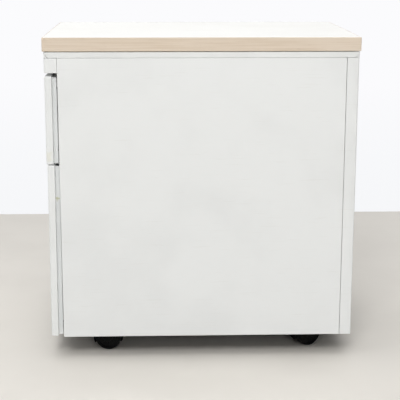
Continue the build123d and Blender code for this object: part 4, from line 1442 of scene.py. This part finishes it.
@dataclass(frozen=True)
class Ground(Finish):
    """Pale floor as far as the wall, and beyond it the wall as a glowing pale backdrop, with painted shade
    that darkens it towards its foot.
    """

    wall_x: float = -0.975
    wall_rise: float = 3.0
    wall_foot_shade: str = "#F6F7F9"
    wall_high: str = "#FBFBFD"

    def fill(self, tree: NodeTree) -> None:
        """Fills the tree with the floor as far as the wall, and beyond it the wall's glowing pale colour,
        darker towards the floor as painted shade.

        Args:
            tree: the material's empty tree.
        """
        place = add_node(tree, "ShaderNodeTexCoord").outputs["Object"]
        links = {"Base Color": self.coloured(tree, place), "Roughness": self.roughness, "IOR": self.ior}
        floor = output_of(tree, "ShaderNodeBsdfPrincipled", links)
        far = add_node(tree, "ShaderNodeSeparateXYZ", {0: place}).outputs["X"]
        # The wall is darker towards the floor: painted shade at its foot
        links = {"Value": far, "From Min": self.wall_x, "From Max": self.wall_x - self.wall_rise}
        rise = output_of(tree, "ShaderNodeMapRange", links)
        links = {MIX_FACTOR: rise, MIX_A: linear(self.wall_foot_shade), MIX_B: linear(self.wall_high)}
        tone = add_node(tree, "ShaderNodeMix", links, data_type="RGBA").outputs[MIX_RESULT]
        wall = output_of(tree, "ShaderNodeEmission", {"Color": tone, "Strength": 1.0})
        beyond = output_of(tree, "ShaderNodeMath", {0: far, 1: self.wall_x}, operation="LESS_THAN")
        both = output_of(tree, "ShaderNodeMixShader", {0: beyond, 1: floor, 2: wall})
        add_node(tree, "ShaderNodeOutputMaterial", {"Surface": both})


@dataclass
class Studio:
    """Camera, floor, lamps and world, matched to the photograph."""

    camera_mm: Triple = (2243.0, -77.0, 781.0)
    yaw_degrees: float = 2.05
    pitch_degrees: float = 12.98
    roll_degrees: float = 0.076
    focal_pixels: float = 1124.0
    sensor_mm: float = 36.0
    floor_half: float = 30.0
    ambient: float = 2.17
    overhead: tuple[float, float] = (0.75, 0.98)
    low_share: float = 0.02
    backdrop: str = "#FBFBFD"
    lamps: tuple[Lamp, ...] = (
        Lamp("camera_box", (3.82, -0.6, 3.6), (0.2, 0.0, 0.2), (1.6, 1.6), 108.0),
        Lamp("low_box", (4.5, 1.0, 1.75), (0.2, 0.0, 0.1), (1.4, 0.6), 34.0),
        Lamp("front_high_box", (1.2, -2.4, 3.0), (0.0, 0.0, 0.3), (1.4, 1.4), 10.0),
        Lamp("front_box", (0.2, -3.2, 1.3), (0.0, 0.0, 0.3), (1.4, 1.2), 10.0),
        Lamp("rear_box", (-1.0, -0.4, 2.6), (0.0, 0.0, 0.3), (1.6, 2.0), 5.0),
    )

    def build(self) -> None:
        """Makes the whole studio."""
        self.make_camera()
        self.make_floor()
        self.make_world()
        for lamp in self.lamps:
            lamp.hang()
        bpy.context.scene.view_settings.view_transform = "Standard"

    def make_camera(self) -> None:
        """Puts the camera where the photograph's outline places it."""
        yaw = math.radians(self.yaw_degrees)
        pitch = math.radians(self.pitch_degrees)
        roll = math.radians(self.roll_degrees)
        level = Vector((-math.cos(yaw), math.sin(yaw), 0.0))
        right = Vector((math.sin(yaw), math.cos(yaw), 0.0))
        up = Vector((0.0, 0.0, 1.0))
        ahead = level * math.cos(pitch) - up * math.sin(pitch)
        head_up = level * math.sin(pitch) + up * math.cos(pitch)
        rolled_right = right * math.cos(roll) + head_up * math.sin(roll)
        rolled_up = head_up * math.cos(roll) - right * math.sin(roll)
        data = bpy.data.cameras.new("camera")
        data.sensor_width = self.sensor_mm
        data.lens = self.focal_pixels / IMAGE_SIDE * self.sensor_mm
        camera = show(bpy.data.objects.new("camera", data))
        turn = Matrix((rolled_right, rolled_up, -ahead)).transposed().to_4x4()
        camera.matrix_world = Matrix.Translation(Vector(self.camera_mm) * MM) @ turn
        bpy.context.scene.camera = camera

    def make_floor(self) -> None:
        """Lays one plain floor that runs far beyond the view."""
        half = self.floor_half
        mesh = bpy.data.meshes.new("floor")
        corners = [(-half, -half, 0), (half, -half, 0), (half, half, 0), (-half, half, 0)]
        mesh.from_pydata(corners, [], [(0, 1, 2, 3)])
        floor = show(bpy.data.objects.new("floor", mesh))
        ground = Ground("pale_floor", "#DCD8D1", 0.55, tones=(Tone("#D3CFC8", even(240.0), 0.5),))
        dress(floor, ground.material())

    def make_world(self) -> None:
        """Lights from overhead, and shows a pale backdrop to the camera and in gloss."""
        world = bpy.data.worlds.new("studio")
        world.use_nodes = True
        tree = world.node_tree
        tree.nodes.clear()
        way = add_node(tree, "ShaderNodeTexCoord").outputs["Generated"]
        height = add_node(tree, "ShaderNodeSeparateXYZ", {0: way}).outputs["Z"]
        # Hardly any of it comes from low down, so the floor under the case stays dark
        links = {
            "Value": height,
            "From Min": self.overhead[0],
            "From Max": self.overhead[1],
            "To Min": self.low_share * self.ambient,
            "To Max": self.ambient,
        }
        share = output_of(tree, "ShaderNodeMapRange", links, interpolation_type="SMOOTHSTEP")
        light = output_of(tree, "ShaderNodeBackground", {"Color": (1, 1, 1, 1), "Strength": share})
        pale = output_of(tree, "ShaderNodeBackground", {"Color": linear(self.backdrop), "Strength": 1.0})
        path = add_node(tree, "ShaderNodeLightPath").outputs
        seen: Any = 0.0
        for ray in ("Is Camera Ray", "Is Glossy Ray", "Is Transmission Ray"):
            seen = output_of(
                tree, "ShaderNodeMath", {0: seen, 1: path[ray]}, operation="ADD", use_clamp=True
            )
        both = output_of(tree, "ShaderNodeMixShader", {0: seen, 1: light, 2: pale})
        add_node(tree, "ShaderNodeOutputWorld", {"Surface": both})
        bpy.context.scene.world = world


# The whole


def main() -> None:
    """Builds the studio, then every sub-assembly in order."""
    logging.basicConfig(level=logging.INFO, format="%(name)s: %(message)s")
    Studio().build()
    studs = StudForm()
    spokes = SpokeForm()
    Board().build()
    Casing(studs).build()
    Slides().build()
    DrawerUnit("upper", studs).build()
    DrawerUnit("lower", studs).build()
    PenTray().build()
    Carried(INNER_PAINT, ["file_divider"]).dress()
    Lock().build()
    Carried(ZINC, ["caster_plates"]).dress()
    Fasteners("caster_screws", "case", "zinc_steel", studs).build()
    for place in ("front_right", "front_left", "rear_right", "rear_left"):
        Caster(place, spokes).build()
    log.info("all pieces are in place")


if __name__ == "__main__":
    main()
